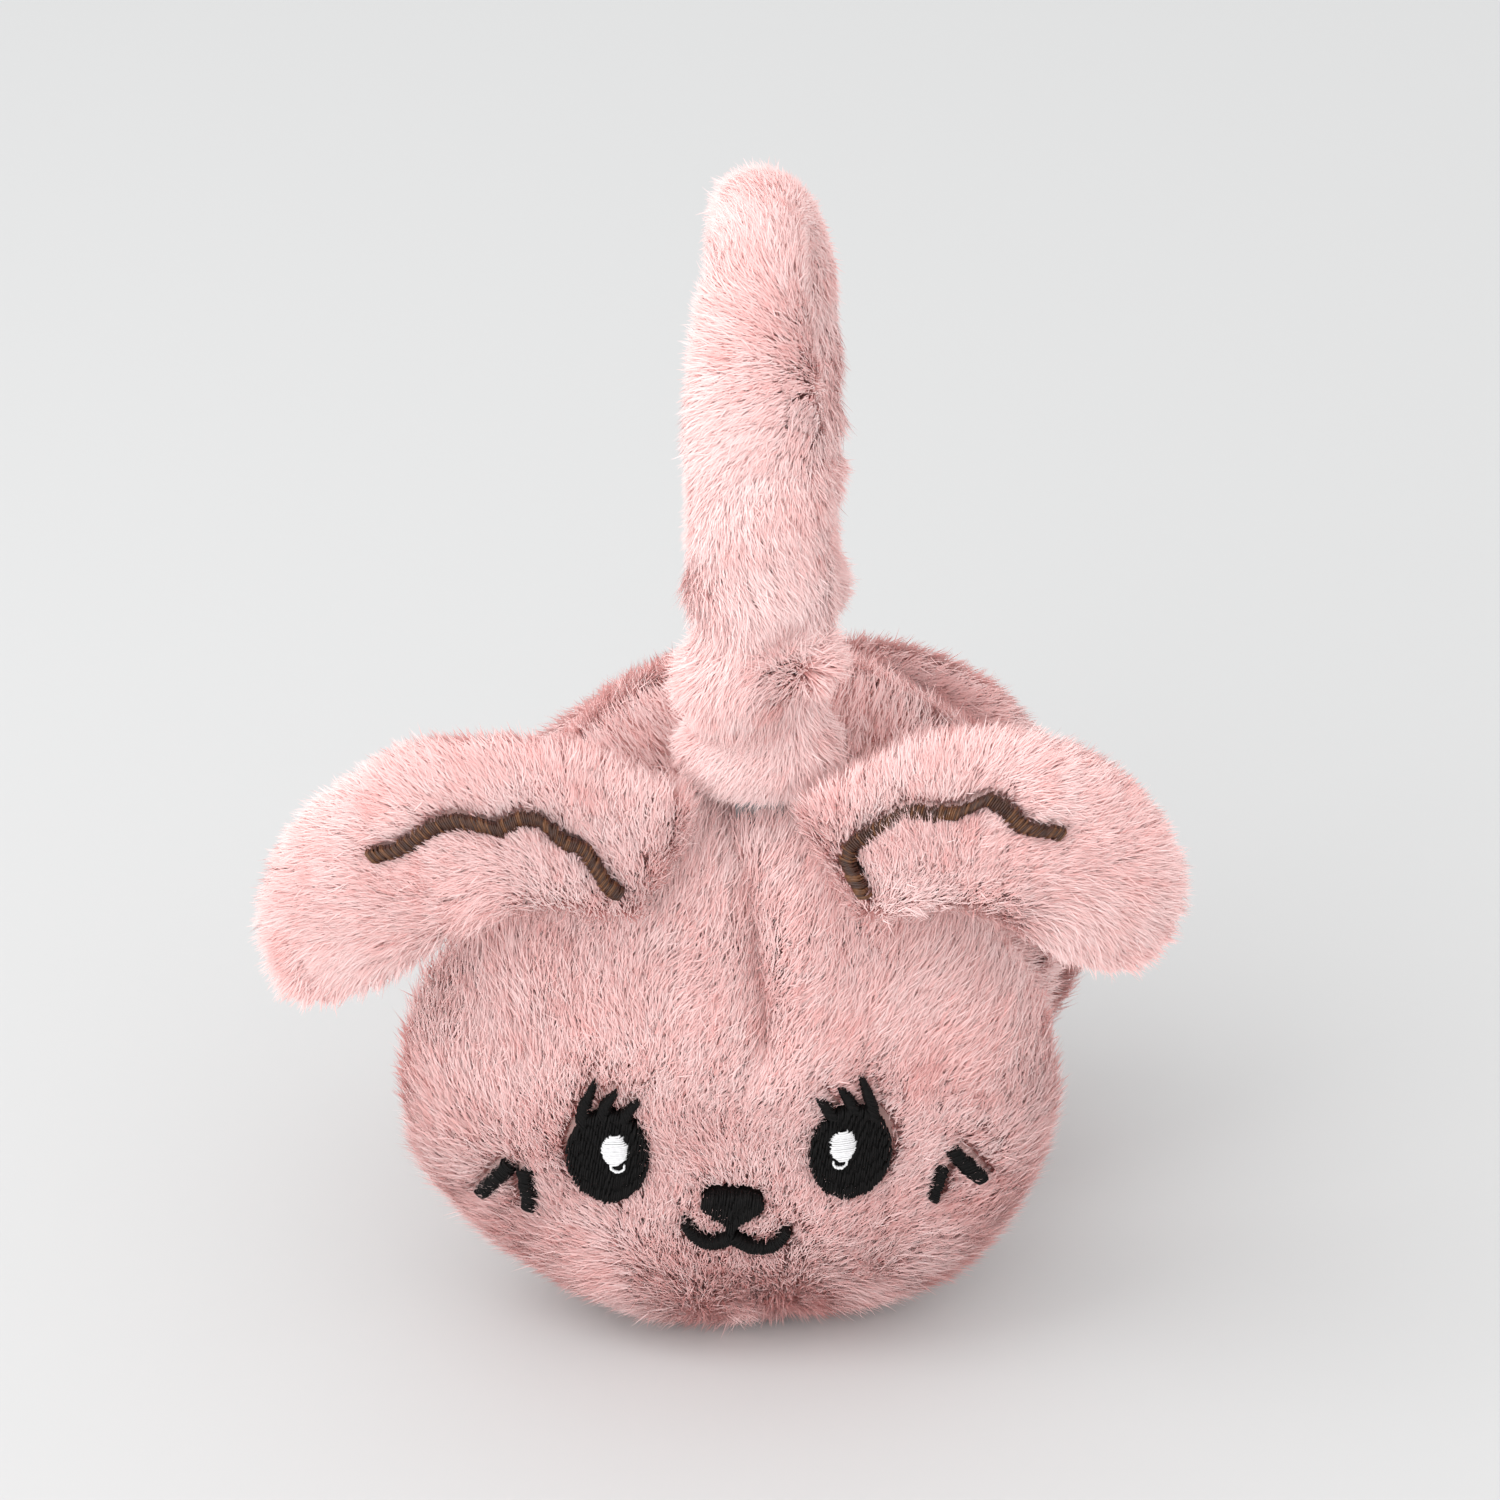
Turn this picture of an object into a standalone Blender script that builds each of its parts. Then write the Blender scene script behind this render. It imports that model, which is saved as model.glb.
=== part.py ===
"""Plush earmuffs shaped like two long-eared animal heads, on a fur-covered spring band.

Metres, +Z up. The origin is on the ground, midway between the cups and between the ear tips.
The cups stand one behind the other along Y, faces outwards. The band arches over them.
"""

import math

import bmesh
import bpy
from mathutils import Matrix, Vector

MM = 0.001
GAP = 0.35 * MM

# Cup outline, seen from its face: an oval that is wider below than above
CUP_HALF_WIDTH = 60.5 * MM
CUP_WIDEST_Z = 51 * MM
CUP_ABOVE = 67 * MM
CUP_BELOW = 54 * MM  # passes the ground, which presses the bottom flat
CUP_TOP_POWER = 1.8  # superellipse power of the upper half, a little pointed
CUP_LOW_POWER = 2.0
CUP_SEGMENTS = 32
CUP_SHIFT = {"front": -5 * MM, "back": -0.5 * MM}  # of the soft cup on its arm, sideways

# Cup layers, as distances from the plane midway between the cups
CUP_PLANE = 29 * MM
FACE_BULGE = 28.5 * MM
FACE_FULLNESS = 2.5
FACE_THICK = 5.5 * MM
REAR_DEPTH = 19 * MM
REAR_THICK = 4.5 * MM
PAD_REACH = 0.69
PAD_FACE = 3 * MM
PAD_CROWN = 9 * MM
PAD_COVER = 2.5 * MM
FOAM_BACK = 15.6 * MM
PLATE_FRONT = 16 * MM
PLATE_THICK = 2.5 * MM
PLATE_REACH = 0.64
STUFFING_BACK = 34.5 * MM

# Cup pivot
PIVOT_Z = 58 * MM
PIN_RADIUS = 1.5 * MM
PIN_HEAD_RADIUS = 2.6 * MM
BOSS_RADIUS = 4 * MM
BOSS_HALF_WIDTH = 7.4 * MM
LUG_INSIDE = 7.8 * MM
LUG_THICK = 3 * MM
TILT_INWARD = math.radians(1.5)  # the cup's top towards the band's inside
TILT_OUTWARD = math.radians(12)

BAND_X = 6.3 * MM  # the band's plane, so that the origin is midway between the ear tips

# Band: a circular crown on two straight legs that run tangent to it, down to the pivots
BAND_RADIUS = 40 * MM
BAND_CENTRE_Z = 176.5 * MM
CASING_WIDTH = 13 * MM
CASING_THICK = 4 * MM
SPRING_WIDTH = 8.6 * MM
SPRING_THICK = 1 * MM
CHANNEL_THICK = 5 * MM
CHANNEL_LENGTH = 48.2 * MM
CHANNEL_ROOF = 6 * MM
ARM_WIDTH = 9 * MM
ARM_THICK = 2 * MM
ARM_TOP = 8 * MM
RIVET_RADIUS = 1.3 * MM
RIVET_BELOW_ARM_TOP = 5 * MM
EXTENSION = 22 * MM

# Fur sleeves of the band
SLEEVE_CLEAR = 3.6 * MM  # half the free length at a shoulder, for the band to spread
SHOULDER_HALF_WIDTH = 15 * MM
SHOULDER_HALF_THICK = 10 * MM
APEX_HALF_WIDTH = 7.5 * MM
APEX_HALF_THICK = 7.2 * MM
APEX_NARROWING = 0.62  # width of the casing and spring at the apex, of that at a shoulder
SLEEVE_BORE_CLEAR = 1.9 * MM  # crown sleeve's bore around the casing
SLEEVE_BORE_WIDTH = 8.6 * MM
SLEEVE_BORE_THICK = 5.2 * MM
SLEEVE_FOLDS = 3
SLEEVE_FOLD_SIZE = 0.06
HEM_TOP = 48.9 * MM
HEM_LENGTH = 4.2 * MM
SECTION_POINTS = 14

# Ears, in the cup's own x, out and z
EAR_HALF_WIDTH = 19.5 * MM
EAR_HALF_THICK = 9 * MM
EAR_RINGS = 9
EAR_LEAN = math.radians(17)
EAR_ROOT = 0.85  # width at the root, as a share of the widest place
EAR_ROUTES = {
    "front_ear_left": [(-14, 51, 111), (-42, 54, 126), (-68, 54, 119), (-80, 47, 79)],
    "front_ear_right": [(21, 51.6, 112), (45, 54.4, 128), (68, 54, 124), (76, 47, 90)],
    "back_ear_left": [(-12, 50, 94), (-27, 54, 96), (-44, 53, 74), (-62, 45, 44)],
    "back_ear_right": [(13, 50, 90), (26, 54, 86), (44, 53, 64), (66, 45, 40)],
}
EAR_STANDOFF = {"front": 0.5 * MM, "back": 2.8 * MM}  # clear of the back face's embroidery

# Embroidery
THREAD_LIFT = 0.4 * MM
THREAD_THICK = 0.8 * MM
EYE_X = 23.5 * MM
EYE_Z = 48 * MM
EYE_HALF_WIDTH = 7.6 * MM
EYE_HALF_HEIGHT = 9 * MM
LASH_ANGLES = (64, 82, 101)
LASH_LENGTHS = (12.5 * MM, 13.5 * MM, 14.5 * MM)

PINK = (0.80, 0.50, 0.46)
PALE_PINK = (0.84, 0.60, 0.56)
BLACK_THREAD = (0.012, 0.010, 0.010)
WHITE_THREAD = (0.85, 0.84, 0.82)
BROWN_THREAD = (0.095, 0.035, 0.016)
GREY_PLASTIC = (0.30, 0.30, 0.31)
STEEL = (0.55, 0.55, 0.56)
FOAM = (0.78, 0.76, 0.70)
FILLING = (0.90, 0.90, 0.89)


class Side:
    """One half of the earmuffs: sign -1 is the front cup, +1 the back cup, turned half round."""

    def __init__(self, name, sign):
        self.name = name
        self.sign = sign
        self.shift = CUP_SHIFT[name]
        to_pivot = math.hypot(CUP_PLANE, BAND_CENTRE_Z - PIVOT_Z)
        below_level = math.atan2(BAND_CENTRE_Z - PIVOT_Z, CUP_PLANE)
        self.leg_tilt = below_level - math.acos(BAND_RADIUS / to_pivot)
        sin, cos = math.sin(self.leg_tilt), math.cos(self.leg_tilt)
        shoulder_z = BAND_CENTRE_Z - BAND_RADIUS * sin
        self.shoulder = Vector((BAND_X, sign * BAND_RADIUS * cos, shoulder_z))
        self.pivot = Vector((BAND_X, sign * CUP_PLANE, PIVOT_Z))
        self.down = Vector((0, -sign * sin, -cos))
        self.outward = Vector((0, sign * cos, -sin))
        self.leg_length = (self.pivot - self.shoulder).length

    def cup(self, x, out, z):
        """World place of a point of the hard cup: x to the viewer's right, out from the middle."""
        return Vector((BAND_X - self.sign * x, self.sign * out, z))

    def soft(self, x, out, z):
        """World place of a point of the soft cup, which sits a little to one side."""
        return self.cup(x + self.shift, out, z)

    def leg(self, x, out, along):
        """World place of a point on the leg, `along` metres below the shoulder."""
        across = Vector((-self.sign * x, 0, 0))
        return self.shoulder + self.down * along + self.outward * out + across


def clear_scene():
    for obj in list(bpy.data.objects):
        bpy.data.objects.remove(obj)


def principled(name, colour, roughness, metallic=0.0):
    material = bpy.data.materials.new(name)
    material.use_nodes = True
    shader = material.node_tree.nodes["Principled BSDF"]
    shader.inputs["Base Color"].default_value = (*colour, 1)
    shader.inputs["Roughness"].default_value = roughness
    shader.inputs["Metallic"].default_value = metallic
    material.diffuse_color = (*colour, 1)
    return material


def make_materials():
    return {
        "fur": principled("pink_fur", PINK, 0.95),
        "fleece": principled("pink_fleece", PALE_PINK, 0.95),
        "black": principled("black_thread", BLACK_THREAD, 0.55),
        "white": principled("white_thread", WHITE_THREAD, 0.5),
        "brown": principled("brown_thread", BROWN_THREAD, 0.55),
        "plastic": principled("grey_plastic", GREY_PLASTIC, 0.45),
        "steel": principled("spring_steel", STEEL, 0.3, 1.0),
        "foam": principled("pad_foam", FOAM, 0.9),
        "filling": principled("polyester_filling", FILLING, 0.95),
    }


def body_empty(name, place, parent=None):
    """The parent of a body's objects, on its joint's axis."""
    empty = bpy.data.objects.new(name, None)
    bpy.context.scene.collection.objects.link(empty)
    empty.empty_display_size = 0.01
    empty.parent = parent
    empty.location = place - Vector(parent["place"]) if parent else place
    empty["place"] = place
    return empty


def bridge(bm, low, high):
    """Faces between two rows of points, either of which may be a single pole."""
    count = max(len(low), len(high))
    for i in range(count):
        j = (i + 1) % count
        corners = [low[i % len(low)], low[j % len(low)], high[j % len(high)], high[i % len(high)]]
        corners = list(dict.fromkeys(corners))
        if len(corners) > 2:
            bm.faces.new(corners)


def closed_mesh(rings, looped=False):
    """A closed surface through rings of points: the last meets the first, or both ends are capped."""
    bm = bmesh.new()
    rows = [[bm.verts.new(point) for point in ring] for ring in rings]
    for low, high in zip(rows, rows[1:]):
        bridge(bm, low, high)
    if looped:
        bridge(bm, rows[-1], rows[0])
    for row in () if looped else (rows[0], rows[-1]):
        if len(row) > 1:
            bm.faces.new(row)
    bmesh.ops.recalc_face_normals(bm, faces=bm.faces)
    if bm.calc_volume(signed=True) < 0:
        bmesh.ops.reverse_faces(bm, faces=bm.faces)
    return bm


def add_object(name, bm, material, body):
    """Makes the object, with its origin on the body's joint axis."""
    place = Vector(body["place"])
    bmesh.ops.transform(bm, matrix=Matrix.Translation(-place), verts=bm.verts)
    mesh = bpy.data.meshes.new(name)
    bm.to_mesh(mesh)
    bm.free()
    mesh.shade_smooth()
    mesh.set_sharp_from_angle(angle=math.radians(50))
    mesh.materials.append(material)
    obj = bpy.data.objects.new(name, mesh)
    bpy.context.scene.collection.objects.link(obj)
    obj.parent = body
    return obj


def add_cutter(name, bm, body):
    cutter = add_object(name, bm, bpy.data.materials["grey_plastic"], body)
    cutter.hide_render = True
    cutter.display_type = "WIRE"
    return cutter


def combine(obj, other, operation="DIFFERENCE"):
    boolean = obj.modifiers.new(operation.lower(), "BOOLEAN")
    boolean.operation = operation
    boolean.solver = "EXACT"
    boolean.object = other


def box_rings(place, x_range, out_range, along_range):
    """Two rectangles, for a box in the frame that `place` maps from."""
    (x0, x1), (o0, o1) = x_range, out_range
    corners = ((x0, o0), (x1, o0), (x1, o1), (x0, o1))
    return [[place(x, out, along) for x, out in corners] for along in along_range]


def ellipse(half_width, half_thick, points=SECTION_POINTS):
    turns = [2 * math.pi * i / points for i in range(points)]
    return [(half_width * math.cos(turn), half_thick * math.sin(turn)) for turn in turns]


def rectangle(width, thick):
    w, t = width / 2, thick / 2
    return [(w, t), (-w, t), (-w, -t), (w, -t)]


def cylinder_across(centre, radius, x0, x1, sides=16):
    """Rings of a cylinder that lies along X around a point of the world."""
    circle = ellipse(radius, radius, sides)
    return [[centre + Vector((x, dy, dz)) for dy, dz in circle] for x in (x0, x1)]


# ---------------------------------------------------------------- cup shells


def cup_ring(side, reach, out):
    """One level line of the cup: `reach` of the way out to the rim. The ground flattens it."""
    ring = []
    for i in range(CUP_SEGMENTS):
        turn = 2 * math.pi * (i + 0.5) / CUP_SEGMENTS
        height, power = upper_or_lower(math.sin(turn) > 0)
        x = abs(math.cos(turn)) ** (2 / power) * math.copysign(1, math.cos(turn))
        up = abs(math.sin(turn)) ** (2 / power) * math.copysign(1, math.sin(turn))
        z = CUP_WIDEST_Z + reach * height * up
        ring.append(side.soft(reach * CUP_HALF_WIDTH * x, out, max(z, 0)))
    return ring


def upper_or_lower(is_upper):
    """Height and superellipse power of that half of the outline."""
    return (CUP_ABOVE, CUP_TOP_POWER) if is_upper else (CUP_BELOW, CUP_LOW_POWER)


def dome(reach):
    """Height of the face's bulge, from 0 at the rim to 1 at its middle."""
    return max(0, 1 - reach**FACE_FULLNESS) ** 0.55


def reach_of(x, z):
    height, power = upper_or_lower(z > CUP_WIDEST_Z)
    across, up = abs(x / CUP_HALF_WIDTH), abs((z - CUP_WIDEST_Z) / height)
    return (across**power + up**power) ** (1 / power)


def cup_rings(side, profile):
    """Rings for (reach, out) pairs; a reach of 0 is a pole."""
    centre = CUP_WIDEST_Z
    return [
        cup_ring(side, reach, out) if reach else [side.soft(0, out, centre)]
        for reach, out in profile
    ]


def face_profile(grow=0.0):
    rim = CUP_PLANE + GAP / 2 - grow
    reaches = (1, 0.975, 0.91, 0.79, 0.62, 0.42, 0.2, 0)
    return [(r + grow / CUP_HALF_WIDTH if r else 0, rim + (FACE_BULGE + 2 * grow) * dome(r)) for r in reaches]


def make_face_panel(side, cup, mats):
    rim = CUP_PLANE + GAP / 2
    inside = 1 - FACE_THICK / CUP_HALF_WIDTH
    inner = [(inside * r, rim + (FACE_BULGE - FACE_THICK) * dome(r)) for r in (0, 0.3, 0.58, 0.8, 0.94, 1)]
    bm = closed_mesh(cup_rings(side, face_profile() + inner), looped=True)
    return add_object(f"{side.name}_face_panel", bm, mats["fur"], cup)


def make_head_clearance(side, cup):
    """The face's solid outer shape, a little larger, to shape what lies against it."""
    profile = face_profile(grow=EAR_STANDOFF[side.name])
    profile.insert(0, (0, profile[0][1]))
    bm = closed_mesh(cup_rings(side, profile))
    return add_cutter(f"{side.name}_head_clearance", bm, cup)


def rear_out(reach):
    return CUP_PLANE - GAP / 2 - REAR_DEPTH * max(0, 1 - reach**4) ** 0.6


def make_rear_panel(side, cup, mats):
    outer = [(r, rear_out(r)) for r in (1, 0.97, 0.91, 0.82, PAD_REACH + 0.02)]
    lining = 1 - REAR_THICK / CUP_HALF_WIDTH
    inner_reaches = (PAD_REACH + 0.02, 0.82, 0.91)
    inner = [(r, rear_out(r) + REAR_THICK) for r in inner_reaches]
    inner.append((lining, CUP_PLANE - GAP / 2))
    bm = closed_mesh(cup_rings(side, outer + inner), looped=True)
    return add_object(f"{side.name}_rear_panel", bm, mats["fur"], cup)


def pad_out(reach):
    return PAD_FACE + PAD_CROWN * (reach / PAD_REACH) ** 2


def make_ear_pad(side, cup, mats):
    """A crowned fleece cover over a foam disc, on the side that meets the head."""
    outer = [(r, pad_out(r)) for r in (0, 0.3, 0.52, PAD_REACH - 0.04)]
    edge = [(PAD_REACH, pad_out(PAD_REACH)), (PAD_REACH, FOAM_BACK - 1 * MM)]
    foam_reach = PAD_REACH - 0.05
    inner = [(foam_reach, FOAM_BACK - 1 * MM)]
    inner += [(r, pad_out(r) + PAD_COVER) for r in (foam_reach - 0.02, 0.4, 0.2, 0)]
    bm = closed_mesh(cup_rings(side, outer + edge + inner))
    add_object(f"{side.name}_ear_pad_cover", bm, mats["fleece"], cup)
    core_reach = foam_reach - 0.02
    front = [(r, pad_out(r) + PAD_COVER + GAP) for r in (0, 0.25, 0.45, core_reach - 0.03)]
    back = [(core_reach - 0.03, FOAM_BACK), (0, FOAM_BACK)]
    bm = closed_mesh(cup_rings(side, front + back))
    add_object(f"{side.name}_ear_pad_foam", bm, mats["foam"], cup)


def make_base_plate(side, cup, mats):
    """A moulded disc with two lugs that carry the pivot pin."""
    back = PLATE_FRONT + PLATE_THICK
    profile = [(0, PLATE_FRONT), (PLATE_REACH, PLATE_FRONT), (PLATE_REACH, back), (0, back)]
    plate = add_object(
        f"{side.name}_base_plate", closed_mesh(cup_rings(side, profile)), mats["plastic"], cup
    )
    top = CUP_PLANE + BOSS_RADIUS
    for x in (-LUG_INSIDE - LUG_THICK, LUG_INSIDE):
        rings = box_rings(
            lambda x, z, out: side.cup(x, out, z),
            (x, x + LUG_THICK),
            (PIVOT_Z - BOSS_RADIUS, PIVOT_Z + BOSS_RADIUS),
            (back - 0.5 * MM, top),
        )
        lug = add_cutter(f"{side.name}_lug", closed_mesh(rings), cup)
        combine(plate, lug, "UNION")
    reach = LUG_INSIDE + LUG_THICK + 1 * MM
    hole = cylinder_across(side.pivot, PIN_RADIUS + GAP, -reach, reach)
    combine(plate, add_cutter(f"{side.name}_lug_hole", closed_mesh(hole), cup))


def make_arm_clearance(side, cup):
    """The space that the arm swings through inside the cup, widest where it leaves the top."""
    height = CUP_WIDEST_Z + CUP_ABOVE - PIVOT_Z + 12 * MM
    side_room = 3 * MM
    outer = height * math.tan(side.leg_tilt + TILT_INWARD) + side_room
    inner = height * math.tan(side.leg_tilt - TILT_OUTWARD) - side_room
    low, foot = -7 * MM, 5 * MM
    outline = ((-foot, low), (foot, low), (outer, height), (inner, height))
    half = LUG_INSIDE - GAP
    rings = [
        [side.cup(x, CUP_PLANE + out, PIVOT_Z + up) for out, up in outline] for x in (-half, half)
    ]
    return add_cutter(f"{side.name}_arm_clearance", closed_mesh(rings), cup)


def make_stuffing(side, cup, mats):
    inside = 1 - (FACE_THICK + 1 * MM) / CUP_HALF_WIDTH
    rim = CUP_PLANE + GAP / 2
    room = FACE_BULGE - FACE_THICK - 1 * MM
    levels = [(inside * r, rim + room * dome(r)) for r in (0, 0.35, 0.62, 0.82)]
    levels.append((inside * 0.93, STUFFING_BACK + 1.5 * MM))
    levels.append((inside * 0.90, STUFFING_BACK))
    levels.append((0, STUFFING_BACK))
    bm = closed_mesh(cup_rings(side, levels))
    return add_object(f"{side.name}_stuffing", bm, mats["filling"], cup)


# ---------------------------------------------------------------- ears


class Ear:
    """A padded leaf swept along a Bezier route, its broad face outwards and a little up."""

    def __init__(self, side, name):
        self.side = side
        self.name = name
        self.route = [Vector(point) * MM for point in EAR_ROUTES[name]]
        self.facing = Vector((0, math.cos(EAR_LEAN), math.sin(EAR_LEAN)))

    def middle(self, t):
        a, b, c, d = self.route
        u = 1 - t
        return a * u**3 + b * (3 * u * u * t) + c * (3 * u * t * t) + d * t**3

    def frame(self, t):
        """Directions along, across and out of the ear's broad face."""
        ahead = (self.middle(min(1, t + 0.01)) - self.middle(max(0, t - 0.01))).normalized()
        out = (self.facing - ahead * self.facing.dot(ahead)).normalized()
        across = out.cross(ahead)
        if across.z < 0:
            across.negate()
        return ahead, across, out

    def half_width(self, t):
        base = EAR_ROOT + (1 - EAR_ROOT) * min(1, t / 0.45)
        tip = math.sqrt(max(0, 1 - (max(0, t - 0.66) / 0.34) ** 2.2))
        return EAR_HALF_WIDTH * base * tip

    def half_thick(self, t):
        base = 0.72 + 0.28 * min(1, t / 0.5)
        tip = math.sqrt(max(0, 1 - (max(0, t - 0.72) / 0.28) ** 2))
        return EAR_HALF_THICK * base * tip

    def place(self, t, across, lift):
        """World place of a point of the broad face: across from -1 to 1, lift above the face."""
        _, side_way, out_way = self.frame(t)
        height = self.half_thick(t) * math.sqrt(max(0, 1 - across**2)) + lift
        point = self.middle(t) + side_way * (across * self.half_width(t)) + out_way * height
        return self.side.soft(*point)

    def ring(self, t):
        _, side_way, out_way = self.frame(t)
        return [
            self.side.soft(*(self.middle(t) + side_way * w + out_way * h))
            for w, h in ellipse(self.half_width(t), self.half_thick(t))
        ]

    def make(self, cup, mats, head_clearance):
        rings = [self.ring(0.985 * math.sin(math.pi / 2 * i / EAR_RINGS)) for i in range(EAR_RINGS + 1)]
        obj = add_object(self.name, closed_mesh(rings), mats["fur"], cup)
        combine(obj, head_clearance)

    def make_line(self, cup, mats):
        """The wavy stitched line along the ear's broad face."""
        steps = 16
        path = []
        for i in range(steps + 1):
            part = i / steps
            climb = -0.9 * (1 - part) ** 2.4
            droop = -0.2 * part**3
            wave = 0.07 * math.sin(4 * math.pi * part - 1.0)
            path.append((0.12 + 0.5 * part, 0.2 + climb + droop + wave))
        rings = ribbon_rings(path, 0.062, lambda t, q, lift: self.place(t, q, lift), stretch=0.36)
        name = self.name.replace("ear", "ear_line")
        add_object(name, closed_mesh(rings), mats["brown"], cup)


# ---------------------------------------------------------------- embroidery


def ribbon_rings(path, half_width, place, stretch=1.0, low=THREAD_LIFT, high=THREAD_LIFT + THREAD_THICK):
    """Flat sections along a path on a surface. `stretch` is the first unit's size in the second's."""
    rings = []
    for i, (u, v) in enumerate(path):
        before, after = path[max(0, i - 1)], path[min(len(path) - 1, i + 1)]
        along = Vector(((after[0] - before[0]) / stretch, after[1] - before[1])).normalized()
        du, dv = -along.y * half_width * stretch, along.x * half_width
        corners = ((1, high), (-1, high), (-1, low), (1, low))
        rings.append([place(u + way * du, v + way * dv, lift) for way, lift in corners])
    return rings


def patch_rings(centre, outline, place, low=THREAD_LIFT, high=THREAD_LIFT + THREAD_THICK):
    """A flat patch on a surface, as levels between its middle and its outline."""
    cx, cz = centre
    levels = []
    for scale, lift in ((0, high), (0.5, high), (1, high), (1, low), (0.5, low), (0, low)):
        points = outline if scale else [(0, 0)]
        levels.append([place(cx + scale * x, cz + scale * z, lift) for x, z in points])
    return levels


def eye_outline(outer_way):
    """An oval with three lashes that stand up from it. outer_way is +1 or -1, the lashes' lean."""
    spikes = dict(zip(LASH_ANGLES, LASH_LENGTHS))
    outline = []
    for degrees in sorted(list(range(0, 360, 20)) + [a + d for a in spikes for d in (-6, 0, 6)]):
        turn = math.radians(degrees)
        near_lash = any(abs(degrees - a) < 6 for a in spikes)
        if near_lash and degrees not in spikes:
            continue
        oval = EYE_HALF_WIDTH * EYE_HALF_HEIGHT / math.hypot(
            EYE_HALF_HEIGHT * math.cos(turn), EYE_HALF_WIDTH * math.sin(turn)
        )
        reach = spikes.get(degrees, oval)
        outline.append((outer_way * reach * math.cos(turn), reach * math.sin(turn)))
    return outline


def make_face_embroidery(side, cup, mats):
    def on_face(x, z, lift):
        out = CUP_PLANE + GAP / 2 + FACE_BULGE * dome(reach_of(x, z)) + lift
        return side.soft(x, out, z)

    def add(name, rings, material):
        add_object(f"{side.name}_{name}", closed_mesh(rings), mats[material], cup)

    above = THREAD_LIFT + THREAD_THICK + GAP
    glint = ellipse(2.5 * MM, 3.2 * MM, 10)
    for word, way in (("left", -1), ("right", 1)):
        eye = (way * EYE_X, EYE_Z)
        add(f"eye_{word}", patch_rings(eye, eye_outline(-way), on_face), "black")
        spot = (eye[0] + (1.3 - 0.6 * way) * MM, eye[1] + 1.8 * MM)
        add(f"eye_glint_{word}", patch_rings(spot, glint, on_face, above, above + 0.5 * MM), "white")
        for mark, ends in (
            ("outer", ((47.5, 37), (42.3, 44.5))),
            ("inner", ((39.3, 35), (39.6, 43))),
        ):
            (x0, z0), (x1, z1) = ends
            line = [((x0 + (x1 - x0) * k / 3) * way * MM, (z0 + (z1 - z0) * k / 3) * MM) for k in range(4)]
            add(f"cheek_{mark}_{word}", ribbon_rings(line, 1.1 * MM, on_face), "black")
    nose = [(0, -4.6), (1.1, -2.2), (4.6, -0.2), (6, 1.6), (4.8, 2.9), (0, 3.3)]
    nose += [(-x, z) for x, z in reversed(nose[1:-1])]
    add("nose", patch_rings((0, 37.4 * MM), [(x * MM, z * MM) for x, z in nose], on_face), "black")
    lip = [(-9, 34), (-7.4, 31.4), (-4.8, 30), (-2.2, 30.2), (0, 31.2)]
    lip += [(-x, z) for x, z in reversed(lip[:-1])]
    add("mouth", ribbon_rings([(x * MM, z * MM) for x, z in lip], 0.9 * MM, on_face), "black")


# ---------------------------------------------------------------- band


def crown_sections(section, clear):
    """Rings of a section swept over the crown, `clear` metres short of each shoulder."""
    start = -SIDES[0].leg_tilt + clear / BAND_RADIUS
    count = 17
    rings = []
    for i in range(count):
        turn = start + (math.pi - 2 * start) * i / (count - 1)
        cos, sin = math.cos(turn), math.sin(turn)
        middle = Vector((BAND_X, BAND_RADIUS * cos, BAND_CENTRE_Z + BAND_RADIUS * sin))
        outward = Vector((0, cos, sin))
        rings.append([middle + outward * out + Vector((x, 0, 0)) for x, out in section(abs(cos))])
    return rings


def tube_rings(outer, inner):
    return outer + list(reversed(inner))


def sleeve_size(slope):
    """Half width and half thickness of the sleeve: least at the apex, where slope is 0."""
    width = APEX_HALF_WIDTH + (SHOULDER_HALF_WIDTH - APEX_HALF_WIDTH) * slope
    thick = APEX_HALF_THICK + (SHOULDER_HALF_THICK - APEX_HALF_THICK) * slope
    return width, thick


def make_crown(crown, mats):
    casing_clear = CHANNEL_THICK / 2 + GAP

    def narrow(slope):
        """The casing and spring narrow towards the apex, as the sleeve does."""
        return APEX_NARROWING + (1 - APEX_NARROWING) * slope

    def narrowed(width, thick):
        return lambda slope: rectangle(width * narrow(slope), thick)

    def sleeve_bore(slope):
        half_width = CASING_WIDTH / 2 * narrow(slope) + SLEEVE_BORE_CLEAR
        return ellipse(half_width, CASING_THICK / 2 + SLEEVE_BORE_CLEAR)

    spring = crown_sections(narrowed(SPRING_WIDTH, SPRING_THICK), casing_clear)
    add_object("crown_spring", closed_mesh(spring), mats["steel"], crown)
    casing = tube_rings(
        crown_sections(narrowed(CASING_WIDTH, CASING_THICK), casing_clear),
        crown_sections(narrowed(SPRING_WIDTH + 4 * GAP, SPRING_THICK + 2 * GAP), casing_clear),
    )
    add_object("crown_casing", closed_mesh(casing, looped=True), mats["plastic"], crown)
    sleeve = tube_rings(
        crown_sections(lambda slope: ellipse(*sleeve_size(slope)), SLEEVE_CLEAR),
        crown_sections(sleeve_bore, SLEEVE_CLEAR),
    )
    add_object("crown_fur_sleeve", closed_mesh(sleeve, looped=True), mats["fur"], crown)


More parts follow.
